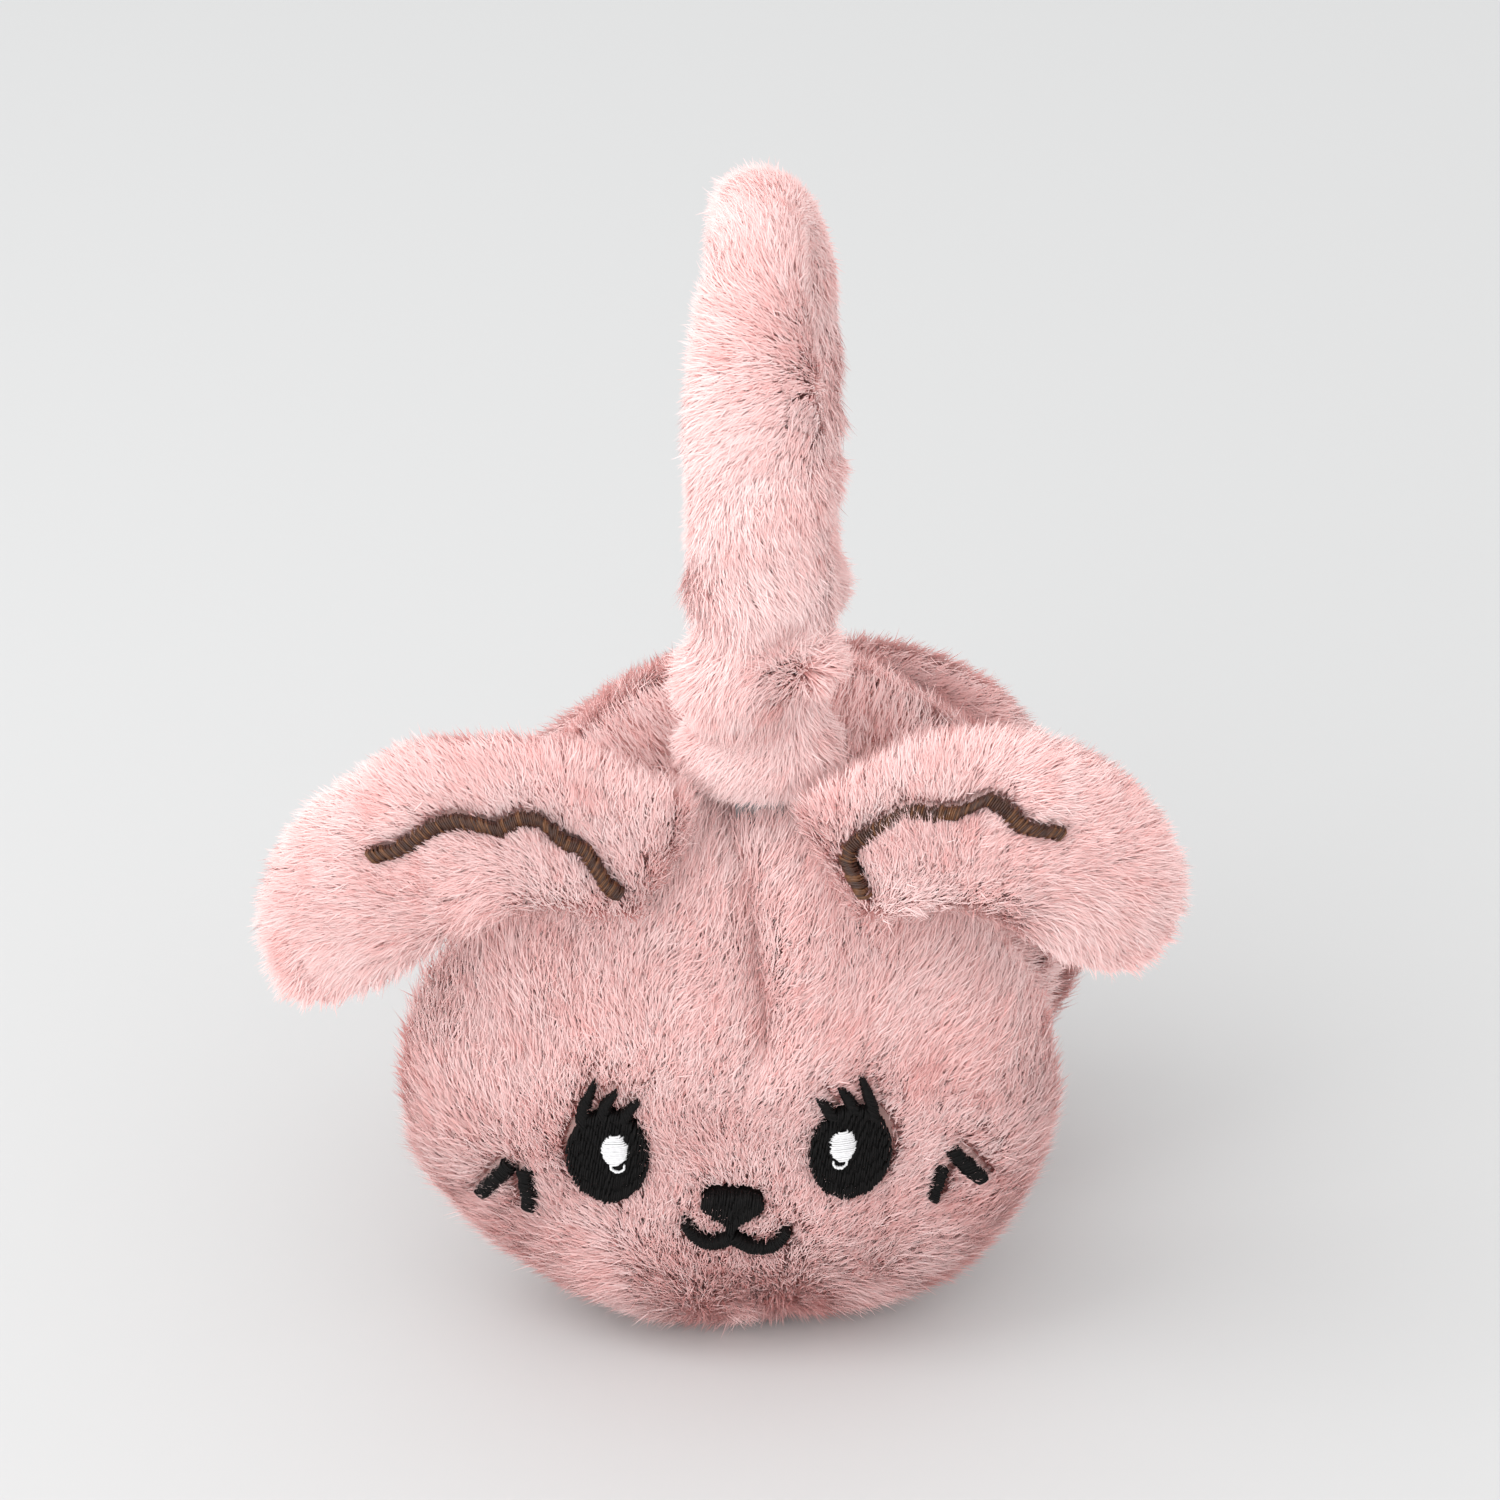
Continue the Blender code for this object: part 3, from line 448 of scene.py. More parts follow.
def grow(name, skin, count, length, comb, keep=None, lean=0.6, clump=3.4, pull=0.5, width=0.34, dark=None):
    """Fur on a skin. length and lean are numbers or functions of the root; comb gives its flow."""
    roots, normals = scatter(skin, count)
    if keep is not None:
        chosen = rng.random(count) < keep(roots, normals)
        roots, normals = roots[chosen], normals[chosen]
        count = len(roots)
    size = length(roots) if callable(length) else np.full(count, float(length))
    size = (size * rng.uniform(0.7, 1.12, count))[:, None]
    bend = (lean(roots) if callable(lean) else np.full(count, float(lean)))[:, None]
    flow = comb(roots, normals)
    flow = unit(flow - normals * dot(flow, normals))
    flow = unit(flow + 0.30 * rng.normal(size=(count, 3)))
    first = unit(normals * (1 - 0.5 * bend) + flow * bend * 0.5 + 0.10 * rng.normal(size=(count, 3)))
    last = unit(normals * (1 - bend) * 0.8 + flow * bend * 1.25 + 0.15 * rng.normal(size=(count, 3)))
    middle = first * size * 0.5
    tip = middle + last * size * 0.5
    cells = np.floor((roots + 1.6 * drift(roots, 9, 31)) / clump).astype(int)
    _, tuft = np.unique(cells, axis=0, return_inverse=True)
    tuft = tuft.ravel()
    members = np.bincount(tuft)[:, None]

    def mean(values):
        return np.stack([np.bincount(tuft, values[:, k]) for k in range(3)], -1) / members

    hub = mean(roots)[tuft]
    gather = (pull * rng.uniform(0.25, 1.0, count))[:, None]
    tip += (hub + mean(tip)[tuft] - roots - tip) * gather
    middle += (hub + mean(middle)[tuft] - roots - middle) * gather * 0.4
    middle, tip = roots + middle, roots + tip
    for end in (middle, tip):
        end[:, 2] = np.maximum(end[:, 2], rng.uniform(0.1, 0.9, count))
    along = unit(tip - roots)
    side = unit(np.cross(tip - middle, normals) + 1e-6)
    side = unit(side + 0.22 * rng.normal(size=(count, 3)))
    side = unit(side - along * dot(side, along))
    side = side * np.where(dot(np.cross(side, along), normals) < 0, -1, 1)
    broad = width * rng.uniform(0.7, 1.15, (count, 1)) / 2
    corners = np.stack([
        roots - side * broad, roots + side * broad,
        middle + side * broad * 0.85, middle - side * broad * 0.85, tip,
    ], 1)
    low = strand_normals(side, middle - roots, normals)
    high = strand_normals(side, tip - middle, normals)
    shade = np.stack([low, low, unit(low + high), unit(low + high), high], 1)
    tone = 1.0 + 0.4 * waves(roots, 16, 77) + 0.45 * rng.normal(size=len(members))[tuft]
    tone = tone + 0.7 * rng.normal(size=count)
    if dark is not None:
        tone = tone + dark(roots)
    return strand_object(name, corners, shade, np.clip(np.round(tone), 0, 3).astype(int))


# ---------------------------------------------------------------- stitching


class Ground:
    """Where stitching lies: a formula surface, brought down to the real skin under it."""

    def __init__(self, skin, surface):
        self.surface = surface
        self.tree = BVHTree.FromObject(skin, bpy.context.evaluated_depsgraph_get())

    def place(self, u, v, lift):
        points, normals = self.surface(u, v)
        shape = points.shape
        points, normals = points.reshape(-1, 3), normals.reshape(-1, 3)
        found = points.copy()
        for k, (point, normal) in enumerate(zip(points, normals)):
            start = Vector((point + normal * 8) * MM)
            hit = self.tree.ray_cast(start, -Vector(normal), 0.03)[0]
            if hit is not None:
                found[k] = np.array(hit) / MM
        return found.reshape(shape) + normals.reshape(shape) * np.asarray(lift)[..., None]


def face_surface(cup):
    def surface(x, z):
        x, z = np.asarray(x, float), np.asarray(z, float)
        step = 0.3
        dx = (face_out(x + step, z) - face_out(x - step, z)) / (2 * step)
        dz = (face_out(x, z + step) - face_out(x, z - step)) / (2 * step)
        normal = unit(np.stack([-dx, np.ones_like(dx), -dz], -1))
        return cup.world(np.stack([x, face_out(x, z), z], -1)), normal * cup.flip
    return surface


def threads(name, ground, stitches, materials, radius=0.26, depth=5.0, sections=6, sides=5):
    """Thread stitches. Each is (u0, v0, u1, v1, slot): it rises out of the skin and dives back."""
    table = np.array([s[:4] for s in stitches], float)
    part = np.linspace(0, 1, sections)
    u = table[:, :1] + (table[:, 2:3] - table[:, :1]) * part
    v = table[:, 1:2] + (table[:, 3:4] - table[:, 1:2]) * part
    arch = 1 - np.abs(2 * part - 1) ** 6
    lift = depth - 1.6 + 1.6 * arch[None] + rng.uniform(-0.12, 0.12, (len(table), 1))
    _, normals = ground.surface(u, v)
    points = ground.place(u, v, lift)
    along = unit(np.gradient(points, axis=1))
    side = unit(np.cross(along, normals))
    up = np.cross(side, along)
    turn = np.arange(sides) * 2 * math.pi / sides
    thick = radius * rng.uniform(0.85, 1.15, (len(table), 1, 1, 1))
    ring = side[:, :, None] * np.cos(turn)[:, None] + up[:, :, None] * np.sin(turn)[:, None]
    verts = points[:, :, None] + ring * thick
    faces, slots = [], []
    block = sections * sides
    for k, stitch in enumerate(stitches):
        made = ring_faces(sections, sides, k * block)
        faces += made
        slots += [stitch[4]] * len(made)
    obj = add_mesh(name, verts, faces, materials)
    obj.data.polygons.foreach_set("material_index", np.array(slots, np.int32))
    return obj


def patch(name, ground, centre, outline, material, top, bottom=-0.5):
    """A low solid under a filled shape, from the skin up to `top` above it."""
    outline = np.array(outline, float)
    middle = np.array(centre, float)
    levels = [(0.02, top), (0.5, top), (0.88, top), (1.0, top - 0.7), (1.0, bottom), (0.02, bottom)]
    rows = []
    for scale, lift in levels:
        at = middle + (outline - middle) * scale
        rows.append(ground.place(at[:, 0], at[:, 1], np.full(len(at), lift)))
    rows = np.array(rows)
    return add_mesh(name, rows, ring_faces(rows.shape[0], rows.shape[1]), [material])


def strip_patch(name, ground, path, half, material, top, stretch=1.0, bottom=-0.5):
    """A low solid under a stitched line."""
    path = np.array(path, float)
    way = np.gradient(path, axis=0) / [stretch, 1]
    way = way / np.linalg.norm(way, axis=1, keepdims=True)
    across = np.stack([-way[:, 1] * stretch, way[:, 0]], -1) * np.asarray(half).reshape(-1, 1)
    rows = []
    for k in range(len(path)):
        ends = np.array([1, 0.6, -0.6, -1, -1, 1])[:, None]
        at = path[k] + across[k] * ends
        lift = np.array([top - 0.6, top, top, top - 0.6, bottom, bottom])
        rows.append(ground.place(at[:, 0], at[:, 1], lift))
    rows = np.array(rows)
    return add_mesh(name, rows, ring_faces(rows.shape[0], rows.shape[1]), [material])


def join(name, objects):
    """Joins meshes into the first, keeping each face's own material."""
    with bpy.context.temp_override(active_object=objects[0], selected_editable_objects=objects):
        bpy.ops.object.join()
    objects[0].name = name
    return objects[0]


def resample(line, count):
    """A line's points, spread evenly over its corners' numbers."""
    line = np.array(line, float)
    corner, place = np.linspace(0, 1, len(line)), np.linspace(0, 1, count)
    return np.stack([np.interp(place, corner, line[:, k]) for k in range(2)], -1)


def fill_stitches(outline_at, low, high, pitch, length, slant):
    """Broken rows of stitches over a shape. outline_at(row) gives the row's two ends."""
    made = []
    row = low + pitch / 2
    while row < high:
        ends = outline_at(row)
        if ends is not None:
            a, b = ends
            at = a - rng.uniform(0.1, 0.7)
            while at < b:
                stop = min(at + length * rng.uniform(0.75, 1.2), b + rng.uniform(0.1, 0.7))
                if b - stop < 0.8:
                    stop = b + rng.uniform(0.1, 0.7)
                made.append((row, at, row + slant * (stop - at), stop))
                at = stop - 0.15
        row += pitch * rng.uniform(0.85, 1.15)
    return made


def satin_stitches(path, half, pitch, stretch=1.0, slant=0.25, ragged=0.3):
    """Short stitches side by side across a path."""
    path = np.array(path, float)
    steps = np.linalg.norm(np.diff(path, axis=0) / [stretch, 1], axis=1)
    run = np.concatenate([[0], np.cumsum(steps)])
    count = max(3, int(run[-1] / pitch))
    made = []
    for s in np.linspace(0, run[-1], count):
        point = np.array([np.interp(s, run, path[:, k]) for k in range(2)])
        ahead = np.array([np.interp(min(s + 0.4, run[-1]), run, path[:, k]) for k in range(2)])
        behind = np.array([np.interp(max(s - 0.4, 0), run, path[:, k]) for k in range(2)])
        way = (ahead - behind) / [stretch, 1]
        way = way / max(np.linalg.norm(way), 1e-6)
        wide = half(s / run[-1]) if callable(half) else half
        across = np.array([-way[1], way[0]]) + way * slant
        a, b = (wide * (1 + rng.uniform(-0.3, 1) * ragged) for _ in range(2))
        start, stop = point + across * a * [stretch, 1], point - across * b * [stretch, 1]
        made.append((*start, *stop))
    return made


# Face embroidery, in the cup's x and z
EYES = {"left": (-23.4, 48.9), "right": (23.0, 50.7)}
EYE_HALF = (7.8, 9.7)
CHEEK_MARKS = {
    ("outer", "left"): [(-48.0, 34.4), (-42.4, 43.8)],
    ("inner", "left"): [(-39.6, 43.0), (-39.2, 33.4)],
    ("outer", "right"): [(47.6, 40.8), (42.4, 48.8)],
    ("inner", "right"): [(40.8, 45.0), (38.8, 38.0)],
}
NOSE = [(0.2, 32.0), (-1.3, 34.8), (-4.6, 36.8), (-5.6, 39.0), (-4.6, 40.6), (-2.2, 41.4),
        (3.0, 41.5), (5.4, 40.8), (6.4, 39.2), (5.2, 37.0), (1.8, 34.8)]
MOUTH = [(-8.6, 34.0), (-7.0, 31.4), (-5.2, 29.9), (-3.3, 29.5), (-1.4, 30.2), (0.2, 31.6),
         (1.6, 30.4), (3.5, 29.2), (5.7, 28.8), (8.0, 29.4), (9.9, 31.2), (11.0, 33.4)]
# Lashes of the left eye from its centre, root to tip; the right eye has their mirror image
LASHES = [[(-4.6, 7.0), (-4.2, 10.5), (-2.3, 15.9)], [(-0.8, 9.0), (0.2, 12.0), (1.8, 14.2)],
          [(3.2, 8.2), (4.6, 10.9), (6.0, 12.4)]]
DART = [(-1.5, 112), (0.6, 104), (2.8, 100.5), (4.2, 95), (4.8, 89), (5.6, 80), (6.4, 70)]


def polyline_distance(p, line):
    line = np.array(line, float)
    best = np.full(len(p), 1e9)
    for a, b in zip(line, line[1:]):
        run = b - a
        part = np.clip(((p - a) @ run) / (run @ run), 0, 1)[:, None]
        best = np.minimum(best, np.linalg.norm(p - a - run * part, axis=1))
    return best


def lashes(word):
    """Each lash of that eye as a line on the face."""
    way = 1 if word == "left" else -1
    return [np.array(line) * [way, 1] + EYES[word] for line in LASHES]


def stitch_distance(x, z):
    """How far a place on the face is from its embroidery, in mm; negative inside."""
    p = np.stack([x, z], -1)
    best = polyline_distance(p, MOUTH) - 0.8
    for line, half in (([(-3.2, 39.2), (4, 39.4)], 2.3), ([(0.3, 38), (0.2, 32)], 1.0)):  # the nose
        best = np.minimum(best, polyline_distance(p, line) - half)
    for word, centre in EYES.items():
        eye = (p - centre) / EYE_HALF
        best = np.minimum(best, (np.linalg.norm(eye, axis=1) - 1) * EYE_HALF[0])
        for line in lashes(word):
            best = np.minimum(best, polyline_distance(p, line) - 0.5)
    for line in CHEEK_MARKS.values():
        best = np.minimum(best, polyline_distance(p, line) - 1.0)
    return best


def embroider_face(cup, skin):
    ground = Ground(skin, face_surface(cup))
    depth = CUP_INSET - STITCH_SINK

    def black(word, rows):
        rows = [(*row, 0) for row in rows]
        return threads(f"{cup.name}_{word}_thread", ground, rows, [BLACK_THREAD], depth=depth)

    def done(word, parts):
        obj = join(f"{cup.name}_{word}_stitching", parts) if len(parts) > 1 else parts[0]
        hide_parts(f"{cup.name}_{word}")
        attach(obj, cup.body)

    for word, (ex, ez) in EYES.items():
        wide, high = EYE_HALF
        turns = np.arange(40) * 2 * math.pi / 40
        rim = [(ex + 0.96 * wide * math.cos(t), ez + 0.96 * high * math.sin(t)) for t in turns]
        base = patch(f"{cup.name}_eye_{word}_base", ground, (ex, ez), rim, BLACK_THREAD, depth - 0.3)

        def eye_ends(row):
            inside = 1 - ((row - ex) / wide) ** 2
            return (ez - high * math.sqrt(inside), ez + high * math.sqrt(inside)) if inside > 0 else None

        rows = fill_stitches(eye_ends, ex - wide, ex + wide, 0.42, 3.4, 0.12)
        for line in lashes(word):
            rows += satin_stitches(resample(line, 9), lambda s: 1.15 - 0.85 * s**1.5, 0.33, slant=0.9)
        done(f"eye_{word}", [base, black(f"eye_{word}", rows)])

        gx, gz = (ex + 1.6, ez + 2.4) if word == "left" else (ex - 1.4, ez + 2.4)
        spot = []
        for k in range(15):
            t = -1 + 2 * (k + 0.5) / 15
            half = 3.0 * math.sqrt(max(0.05, 1 - t * t))
            z = gz + t * 3.3
            left, right = gx - half - rng.uniform(0, 0.35), gx + half + rng.uniform(0, 0.35)
            spot.append((left, z - 0.1, right, z + 0.15))
        way = 1 if word == "left" else -1
        hook = [(gx + way * (0.6 + 1.3 * math.cos(a)), gz - 3.6 + 1.1 * math.sin(a))
                for a in np.linspace(2.8, 6.6, 9)]
        spot += [(*a, *b) for a, b in zip(hook, hook[1:])]
        glint = threads(f"{cup.name}_eye_glint_{word}_stitching", ground, [(*r, 0) for r in spot],
                        [WHITE_THREAD], radius=0.25, depth=depth + 0.55)
        done(f"eye_glint_{word}", [glint])

    for (mark, word), line in CHEEK_MARKS.items():
        line = np.array(line, float)
        line = line[:1] + (line[1:] - line[:1]) * np.linspace(0, 1, 6)[:, None]
        cheek = f"cheek_{mark}_{word}"
        base = strip_patch(f"{cup.name}_{cheek}_base", ground, line, 0.8, BLACK_THREAD, depth - 0.4)
        half = 0.75 if (mark, word) == ("inner", "right") else 1.15
        rows = satin_stitches(line, half, 0.38, ragged=0.4)
        done(cheek, [base, black(cheek, rows)])

    outline = np.array(NOSE, float)
    base = patch(f"{cup.name}_nose_base", ground, (0.3, 38.6), outline, BLACK_THREAD, depth - 0.3)

    def nose_ends(row):
        hits = []
        for (x0, z0), (x1, z1) in zip(outline, np.roll(outline, -1, axis=0)):
            if (x0 - row) * (x1 - row) <= 0 and x0 != x1:
                hits.append(z0 + (z1 - z0) * (row - x0) / (x1 - x0))
        return (min(hits), max(hits)) if len(hits) > 1 else None

    rows = fill_stitches(nose_ends, outline[:, 0].min(), outline[:, 0].max(), 0.42, 4.2, 0.1)
    done("nose", [base, black("nose", rows)])
    line = resample(MOUTH, 25)
    base = strip_patch(f"{cup.name}_mouth_base", ground, line, 0.75, BLACK_THREAD, depth - 0.4)
    rows = satin_stitches(line, lambda s: 0.75 + 0.35 * math.sin(math.pi * s), 0.36)
    done("mouth", [base, black("mouth", rows)])


# The stitched ear lines, as (t along, q across) on the broad face
EAR_LINES = {
    "left": [(0.05, -0.44), (0.09, -0.36), (0.127, -0.18), (0.16, -0.04), (0.2, -0.03), (0.238, 0.1),
             (0.267, 0.19), (0.3, 0.17), (0.346, 0.06), (0.388, 0.13), (0.435, 0.22), (0.489, 0.2),
             (0.531, 0.14), (0.581, 0.15), (0.626, 0.24)],
    "right": [(0.02, -0.4), (0.025, -0.2), (0.03, 0.02), (0.05, 0.17), (0.09, 0.2), (0.156, 0.26),
              (0.2, 0.32), (0.254, 0.22), (0.308, 0.19), (0.353, 0.26), (0.384, 0.34), (0.423, 0.27),
              (0.464, 0.14), (0.518, 0.14), (0.572, 0.22)],
}


def ear_line_distance(t, q, length, line):
    p = np.stack([t * length, q * EAR_HALF_WIDTH], -1)
    return polyline_distance(p, np.array(line) * [length, EAR_HALF_WIDTH]) - 1.0


# ---------------------------------------------------------------- building


def make_cup(cup):
    name = cup.name
    reaches = np.array([1.0, 0.995, 0.98, 0.955, 0.92, 0.88, 0.83, 0.77, 0.7,
                        0.62, 0.54, 0.46, 0.38, 0.3, 0.22, 0.14, 0.07, 0.02])
    # Both skins reach past the rim, so that they still meet there once they are drawn in.
    levels = [(0.9, CUP_RIM - 7), (0.98, CUP_RIM - 6), (1.0, CUP_RIM - 3)]
    levels += [(r, CUP_RIM + FACE_BULGE * dome(r)) for r in reaches]
    face = tube(f"{name}_face_skin", cup.world(cup_rings(levels)), BACKING, CUP_INSET)
    points, normals, _ = arrays_of(face)
    own = cup.local(points)
    gap = polyline_distance(own[:, [0, 2]], DART)
    press = -5.2 * np.exp(-((gap / 3.6) ** 2)) * (own[:, 1] > 24)
    press += 1.2 * waves(points, 24, 5)
    press += 4.0 * np.clip((np.abs(own[:, 0]) - 34) / 20, 0, 1)  # full cheeks
    shift_along_normals(face, press)
    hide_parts(f"{name}_face_panel", f"{name}_stuffing")

    rear_reach = np.array([1.0, 0.995, 0.98, 0.95, 0.91, 0.86, 0.8, 0.74, 0.68, 0.6])
    rear_out = CUP_RIM - REAR_DEPTH * np.maximum(0, 1 - rear_reach**4) ** 0.6
    levels = [(0.9, CUP_RIM + 7), (0.98, CUP_RIM + 6), (1.0, CUP_RIM + 3), *zip(rear_reach, rear_out)]
    rear = tube(f"{name}_rear_skin", cup.world(cup_rings(levels)), BACKING, CUP_INSET)
    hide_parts(f"{name}_rear_panel")

    reaches = (0.02, 0.15, 0.3, 0.42, 0.52, 0.6, 0.65)
    levels = [(r, PAD_FACE + 1.0 + PAD_CROWN * (r / PAD_REACH) ** 2) for r in reaches]
    levels += [(0.68, 13.4), (0.685, 14.6), (0.66, PAD_BACK), (0.4, PAD_BACK), (0.02, PAD_BACK)]
    pad = tube(f"{name}_pad_skin", cup.world(cup_rings(levels)), FLEECE)
    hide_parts(f"{name}_ear_pad_cover", f"{name}_ear_pad_foam")

    for skin, slot, fill in ((face, "pink_fur", 0.8), (rear, "pink_fur", 0.8), (pad, "pink_fleece", 0.7)):
        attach(skin, cup.body)
    return face, rear, pad


def face_comb(cup):
    """Up and a little to the right over the forehead, outwards at the sides, down at the chin."""
    def comb(p, n):
        own = cup.local(p)
        x, z = own[:, 0], own[:, 2]
        high = np.clip((z - 7) / 36, -0.7, 1)
        brow = np.clip((z - 40) / 30, 0, 1)
        flow = np.stack([x * (1 - 0.55 * brow) / 60 + 0.36 * brow, 0 * x, 1.15 * high], -1)
        return flow * cup.flip + 0.28 * drift(p, 15, 50)
    return comb


def dart_share(own):
    """1 along the forehead's seam, falling to 0 a few millimetres away."""
    return np.exp(-((polyline_distance(own[:, [0, 2]], DART) / 2.6) ** 2))


def face_length(cup, full):
    def length(p):
        own = cup.local(p)
        near = stitch_distance(own[:, 0], own[:, 2])
        sides = 1 + 0.12 * np.clip(np.abs(own[:, 0]) / 50 - 0.4, 0, 1)
        seam = 1 - 0.3 * dart_share(own)
        return full * sides * seam * np.clip(0.62 + 0.38 * near / 5, 0.62, 1) * (1 + 0.10 * waves(p, 12, 9))
    return length


def face_lean(cup):
    """Fur stands up beside the stitching and lies flatter elsewhere."""
    def lean(p):
        own = cup.local(p)
        near = stitch_distance(own[:, 0], own[:, 2])
        return 0.46 + 0.18 * np.clip(near / 3.5, 0, 1)
    return lean


def face_keep(cup):
    def keep(p, n):
        own = cup.local(p)
        near = stitch_distance(own[:, 0], own[:, 2])
        outer = (n * cup.flip)[:, 1] > -0.5
        return np.where(near > 0.05, 1.0, 0.0) * outer
    return keep


def make_ear(cup, name, detail):
    ear = Ear(cup, name)
    skin = tube(f"{name}_skin", ear.rings(EAR_INSET), BACKING)
    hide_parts(name)
    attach(skin, cup.body)
    steps = np.linspace(0, 1, 60)
    track = cup.world(ear.middle(steps))
    length = np.linalg.norm(np.diff(track, axis=0), axis=1).sum()
    ahead, across, out = ear.frame(steps)
    wide, thick = ear.half(steps)

    def coordinates(p):
        """(t, q, side) of places near the ear; side is 1 on the broad outer face."""
        nearest = np.empty(len(p), int)
        for start in range(0, len(p), 20000):
            block = p[start:start + 20000]
            nearest[start:start + 20000] = np.argmin(
                ((block[:, None] - track[None]) ** 2).sum(-1), axis=1)
        off = (p - track[nearest]) * cup.flip
        q = (off * across[nearest]).sum(-1) / np.maximum(wide[nearest], 3)
        return steps[nearest], q, (off * out[nearest]).sum(-1)

    drawn = EAR_LINES[name.rsplit("_", 1)[1]]

    def comb(p, n):
        t, q, _ = coordinates(p)
        k = (t * 59).astype(int)
        flow = across[k] * (0.75 + 0.35 * np.sign(q) * np.abs(q))[:, None]
        flow = flow + ahead[k] * (0.35 + 1.1 * t**3)[:, None]
        return flow * cup.flip + 0.3 * drift(p, 13, 60)

    def keep(p, n):
        t, q, side = coordinates(p)
        near = ear_line_distance(t, q, length, drawn)
        return np.where((near < 0.05) & (side > 0), 0.0, 1.0)

    def hair(p):
        t, q, side = coordinates(p)
        near = np.where(side > 0, ear_line_distance(t, q, length, drawn), 9)
        return LENGTH["ear"] * np.clip(0.6 + 0.4 * near / 3.5, 0.6, 1) * (1 + 0.1 * waves(p, 12, 19))

    fur = grow(f"{name}_fur", skin, detail, hair, comb, keep, lean=0.55)
    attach(fur, cup.body)

    ground = Ground(skin, ear.surface)
    depth = EAR_INSET - STITCH_SINK
    line = resample(drawn, 40)
    stretch = EAR_HALF_WIDTH / length
    word = name.replace("ear", "ear_line")
    base = strip_patch(f"{word}_base", ground, line, 0.046, BROWN_THREAD, depth - 0.4, stretch)
    rows = satin_stitches(line, 0.062, 0.020, stretch, slant=0.4, ragged=0.5)
    fill = threads(f"{word}_thread", ground, [(*r, int(rng.random() < 0.3)) for r in rows],
                   [BROWN_THREAD, GOLD_THREAD], radius=0.24, depth=depth)
    stitched = join(f"{word}_stitching", [base, fill])
    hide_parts(word)
    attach(stitched, cup.body)


def hem_rings(sign):
    """A rolled edge: fuller than the leg above it, and drawn in at both ends."""
    rings = band_rings(sign, CROWN_ARC + 40.2, CROWN_ARC + 50, 14, BAND_INSET)
    middle = rings.mean(axis=1, keepdims=True)
    roll = 0.8 + 0.36 * np.sin(np.linspace(0.1, math.pi - 0.2, 14))
    return middle + (rings - middle) * roll[:, None, None]


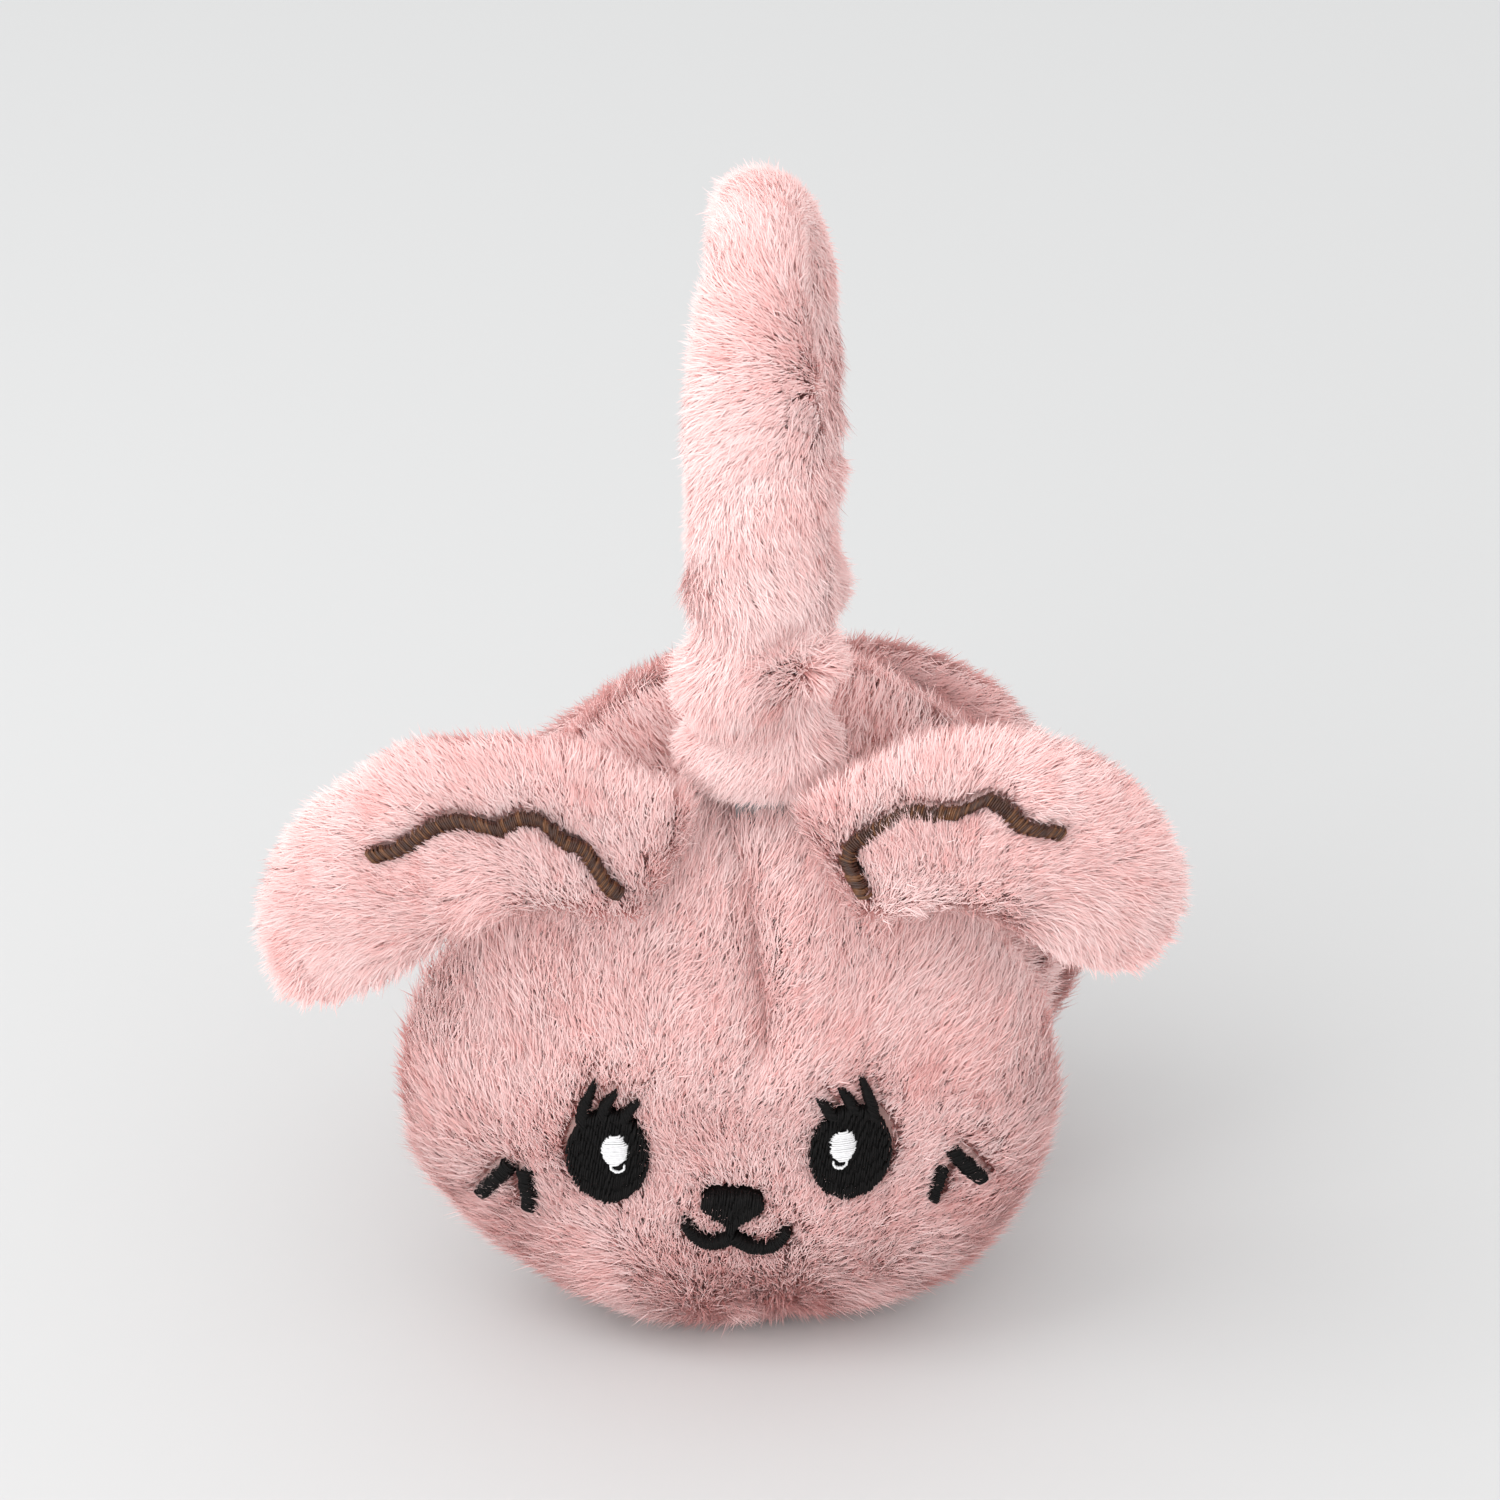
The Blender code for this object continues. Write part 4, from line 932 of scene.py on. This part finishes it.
def make_band():
    def skin(name, rings, nodes):
        obj = tube(name, rings, BACKING)
        if nodes:
            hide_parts(*nodes)
        return obj

    def nap(sign):
        """Down the legs; on the front it turns aside over the shoulder, to run back over the top."""
        def comb(p, n):
            flat = math.pi / 2 + LEG_TILT
            turn = np.clip(np.arctan2(sign * p[:, 1], p[:, 2] - BAND_CENTRE_Z), -flat, flat)
            down = np.stack([0 * turn, sign * np.cos(turn), -np.sin(turn)], -1)
            loose = np.clip((190 - p[:, 2]) / 50, 0, 1)[:, None]
            swing = (np.clip((1.45 - turn) / 0.9, 0, 1) * 2.6 if sign < 0 else 0.5 * top_of(p))[:, None]
            flow = down * np.cos(swing) - np.array([1, 0, 0]) * np.sin(swing)
            return flow + (0.2 + 0.4 * loose) * drift(p, 13, 80)
        return comb

    def top_of(p):
        """1 at the apex, 0 from halfway down the crown."""
        return np.clip((p[:, 2] - BAND_CENTRE_Z) / BAND_RADIUS, 0, 1) ** 2

    def pile(p):
        """Short and smooth over the top, longer and looser down the legs, fuller on its -X side."""
        loose = np.clip((BAND_CENTRE_Z + 30 - p[:, 2]) / 60, 0, 1)
        aside = 1 - 0.3 * top_of(p) * (p[:, 0] - BAND_X) / 5
        size = LENGTH["crown"] + 2.8 * loose + 1.6 * top_of(p)
        return size * aside + (0.4 + 1.0 * loose) * waves(p, 11, 4)

    def band_lean(p):
        return 0.70 - 0.2 * np.clip((BAND_CENTRE_Z + 20 - p[:, 2]) / 60, 0, 1)

    def folded(obj):
        """The gathered fabric of the legs."""
        points, _, _ = arrays_of(obj)
        below = np.clip((BAND_CENTRE_Z - 14 - points[:, 2]) / 8, 0, 1)
        depth = (BAND_CENTRE_Z - points[:, 2]) / 40
        fold = 1.4 * np.sin(9.5 * depth + 1.2 * waves(points, 18, 8)) + 0.9 * waves(points, 9, 14)
        shift_along_normals(obj, fold * below)

    top, leg_start, low = SLEEVE_SPLIT, CROWN_ARC + 11, CROWN_ARC + 42.0
    inset = BAND_INSET
    arc = np.concatenate([band_rings(-1, top, 0, 26, inset), band_rings(1, 0, top, 26, inset)[1:]])
    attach(skin("crown_skin", arc, ["crown_fur_sleeve"]), "crown")

    for name, sign in (("front", -1), ("back", 1)):
        share = 1.0 if sign < 0 else 0.7
        shoulder = band_frame(sign, CROWN_ARC)[0]
        down = band_frame(sign, CROWN_ARC + 1)[1]
        guide = tube("guide", band_rings(sign, -8, low + 3, 130, inset), BACKING)
        folded(guide)

        def run(p):
            """Distance along the band from its apex."""
            turn = np.arctan2(sign * p[:, 1], p[:, 2] - BAND_CENTRE_Z)
            leg = (p - shoulder) @ down
            return np.where((leg > 0) & (p[:, 2] < BAND_CENTRE_Z), CROWN_ARC + leg, BAND_RADIUS * turn)

        def span(start, end):
            return lambda p, n: ((run(p) >= start) & (run(p) < end)) * 1.0

        def dense(word, start, end, count, pull):
            return grow(f"{name}_{word}_fur", guide, count, pile, nap(sign), span(start, end),
                        lean=band_lean, clump=3.6, pull=pull)

        total = int(STRANDS["band"] * share)
        finish_fur([dense("crown", 0, top, total, 0.5)], "crown")

        cover = skin(f"{name}_shoulder_skin", band_rings(sign, top - 1.5, leg_start + 1.5, 24, inset), [])
        fuzz = dense("shoulder", top, leg_start, total, 0.5)
        for obj in (cover, fuzz):
            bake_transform(obj)

        leg = skin(f"{name}_leg_skin", band_rings(sign, leg_start, low, 40, inset),
                   [f"{name}_leg_fur_sleeve"])
        folded(leg)
        fuzz = dense("leg", leg_start, low + 2, total, 0.6)
        for obj in (leg, fuzz):
            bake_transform(obj)
        bpy.data.objects.remove(guide)

        hem = skin(f"{name}_hem_skin", hem_rings(sign), [f"{name}_sleeve_hem"])
        # The hem's strands take lighter tones: painted light on the rolled edge.
        fuzz = grow(f"{name}_hem_fur", hem, int(STRANDS["hem"] * share), LENGTH["hem"], nap(sign),
                    lean=0.78, clump=2.6, pull=0.4, dark=lambda p: -0.8)
        finish_fur([hem, fuzz], f"{name}_arm")


def finish_fur(objs, body):
    for obj in objs:
        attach(obj, body)


def make_head_fur(cup, face, rear, pad, share):
    name = cup.name
    parts = {
        "left": lambda p: (cup.local(p)[:, 0] <= -1) & (cup.local(p)[:, 2] > 52),
        "right": lambda p: (cup.local(p)[:, 0] > -1) & (cup.local(p)[:, 2] > 52),
        "low": lambda p: cup.local(p)[:, 2] <= 52,
    }
    made = []
    for word, inside in parts.items():
        keep_all = face_keep(cup)
        count = int(STRANDS["face"] * share)
        size = face_length(cup, LENGTH["face"])
        # Strands along the forehead's seam take darker tones: painted shade in the crease.
        made.append(grow(f"{name}_face_fur_{word}", face, count, size, face_comb(cup),
                         lambda p, n, inside=inside: keep_all(p, n) * inside(p), lean=face_lean(cup),
                         dark=lambda p: 1.6 * dart_share(cup.local(p))))

    def rear_keep(p, n):
        own = cup.local(p)
        return ((reach_of(own[:, 0], own[:, 2]) > 0.6) & ((n * cup.flip)[:, 1] < 0.5)) * 1.0

    def rear_comb(p, n):
        own = cup.local(p)
        away = np.stack([own[:, 0] / 40, np.full(len(p), 0.1), (own[:, 2] - 48) / 40], -1)
        return away * cup.flip + 0.3 * drift(p, 15, 51)

    made.append(grow(f"{name}_rear_fur", rear, int(STRANDS["rear"] * share), LENGTH["rear"], rear_comb,
                     rear_keep, lean=0.6))

    def pad_keep(p, n):
        return ((n * cup.flip)[:, 1] < 0.1) * 1.0

    made.append(grow(f"{name}_pad_fur", pad, int(STRANDS["pad"] * share), LENGTH["pad"], rear_comb, pad_keep,
                     lean=0.6, width=0.3, clump=1.5, dark=lambda p: -1.0))
    finish_fur(made, cup.body)


def dress_hard_parts():
    for node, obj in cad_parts.items():
        steel = node.endswith(("spring", "rivet", "pin"))
        plastic = node.endswith(("casing", "channel", "arm", "plate"))
        if steel or plastic:
            obj.data.materials.clear()
            obj.data.materials.append(STEEL if steel else PLASTIC)


def make_stage():
    floor, shader = node_material("studio_floor", FLOOR_COLOUR, 0.9)
    shader.inputs["Specular IOR Level"].default_value = 0.1
    corners = [(x * FLOOR_HALF, y * FLOOR_HALF, 0) for x, y in ((-1, -1), (1, -1), (1, 1), (-1, 1))]
    mesh = bpy.data.meshes.new("floor")
    mesh.from_pydata(corners, [], [(0, 1, 2, 3)])
    mesh.materials.append(floor)
    obj = bpy.data.objects.new("floor", mesh)
    bpy.context.scene.collection.objects.link(obj)

    world = bpy.data.worlds.new("studio")
    bpy.context.scene.world = world
    world.use_nodes = True
    back = world.node_tree.nodes["Background"]
    back.inputs["Color"].default_value = (1, 1, 1, 1)
    back.inputs["Strength"].default_value = WORLD_STRENGTH

    def area(name, place, aim, size, power):
        data = bpy.data.lights.new(name, "AREA")
        data.size = size
        data.energy = power
        lamp = bpy.data.objects.new(name, data)
        bpy.context.scene.collection.objects.link(lamp)
        lamp.location = place
        lamp.rotation_euler = (Vector(aim) - Vector(place)).to_track_quat("-Z", "Y").to_euler()

    area("key", (-0.8, -0.35, 1.25), (0, 0, 0.1), 0.9, 6.5)
    area("fill", (-0.55, -1.25, 0.42), (0, 0, 0.08), 1.2, 8.4)


def make_camera():
    data = bpy.data.cameras.new("camera")
    data.lens = CAMERA_LENS
    data.sensor_width = 36
    data.shift_x, data.shift_y = CAMERA_SHIFT
    camera = bpy.data.objects.new("camera", data)
    bpy.context.scene.collection.objects.link(camera)
    target = Vector((BAND_X * MM, 0, 0.095))
    flat = math.cos(CAMERA_RISE)
    away = Vector((math.sin(CAMERA_TURN) * flat, -math.cos(CAMERA_TURN) * flat, math.sin(CAMERA_RISE)))
    camera.location = target + CAMERA_AWAY * away
    camera.rotation_euler = (target - camera.location).to_track_quat("-Z", "Y").to_euler()
    bpy.context.scene.camera = camera
    bpy.context.scene.view_settings.view_transform = "Standard"


make_camera()
make_stage()
dress_hard_parts()
for cup, share in ((Cup("front", -1, -5.0), 1.0), (Cup("back", 1, -0.5), 0.5)):
    face, rear, pad = make_cup(cup)
    make_head_fur(cup, face, rear, pad, share)
    embroider_face(cup, face)
    for word in ("left", "right"):
        make_ear(cup, f"{cup.name}_ear_{word}", int(STRANDS["ear"] * (1.0 if share == 1 else 0.6)))
make_band()
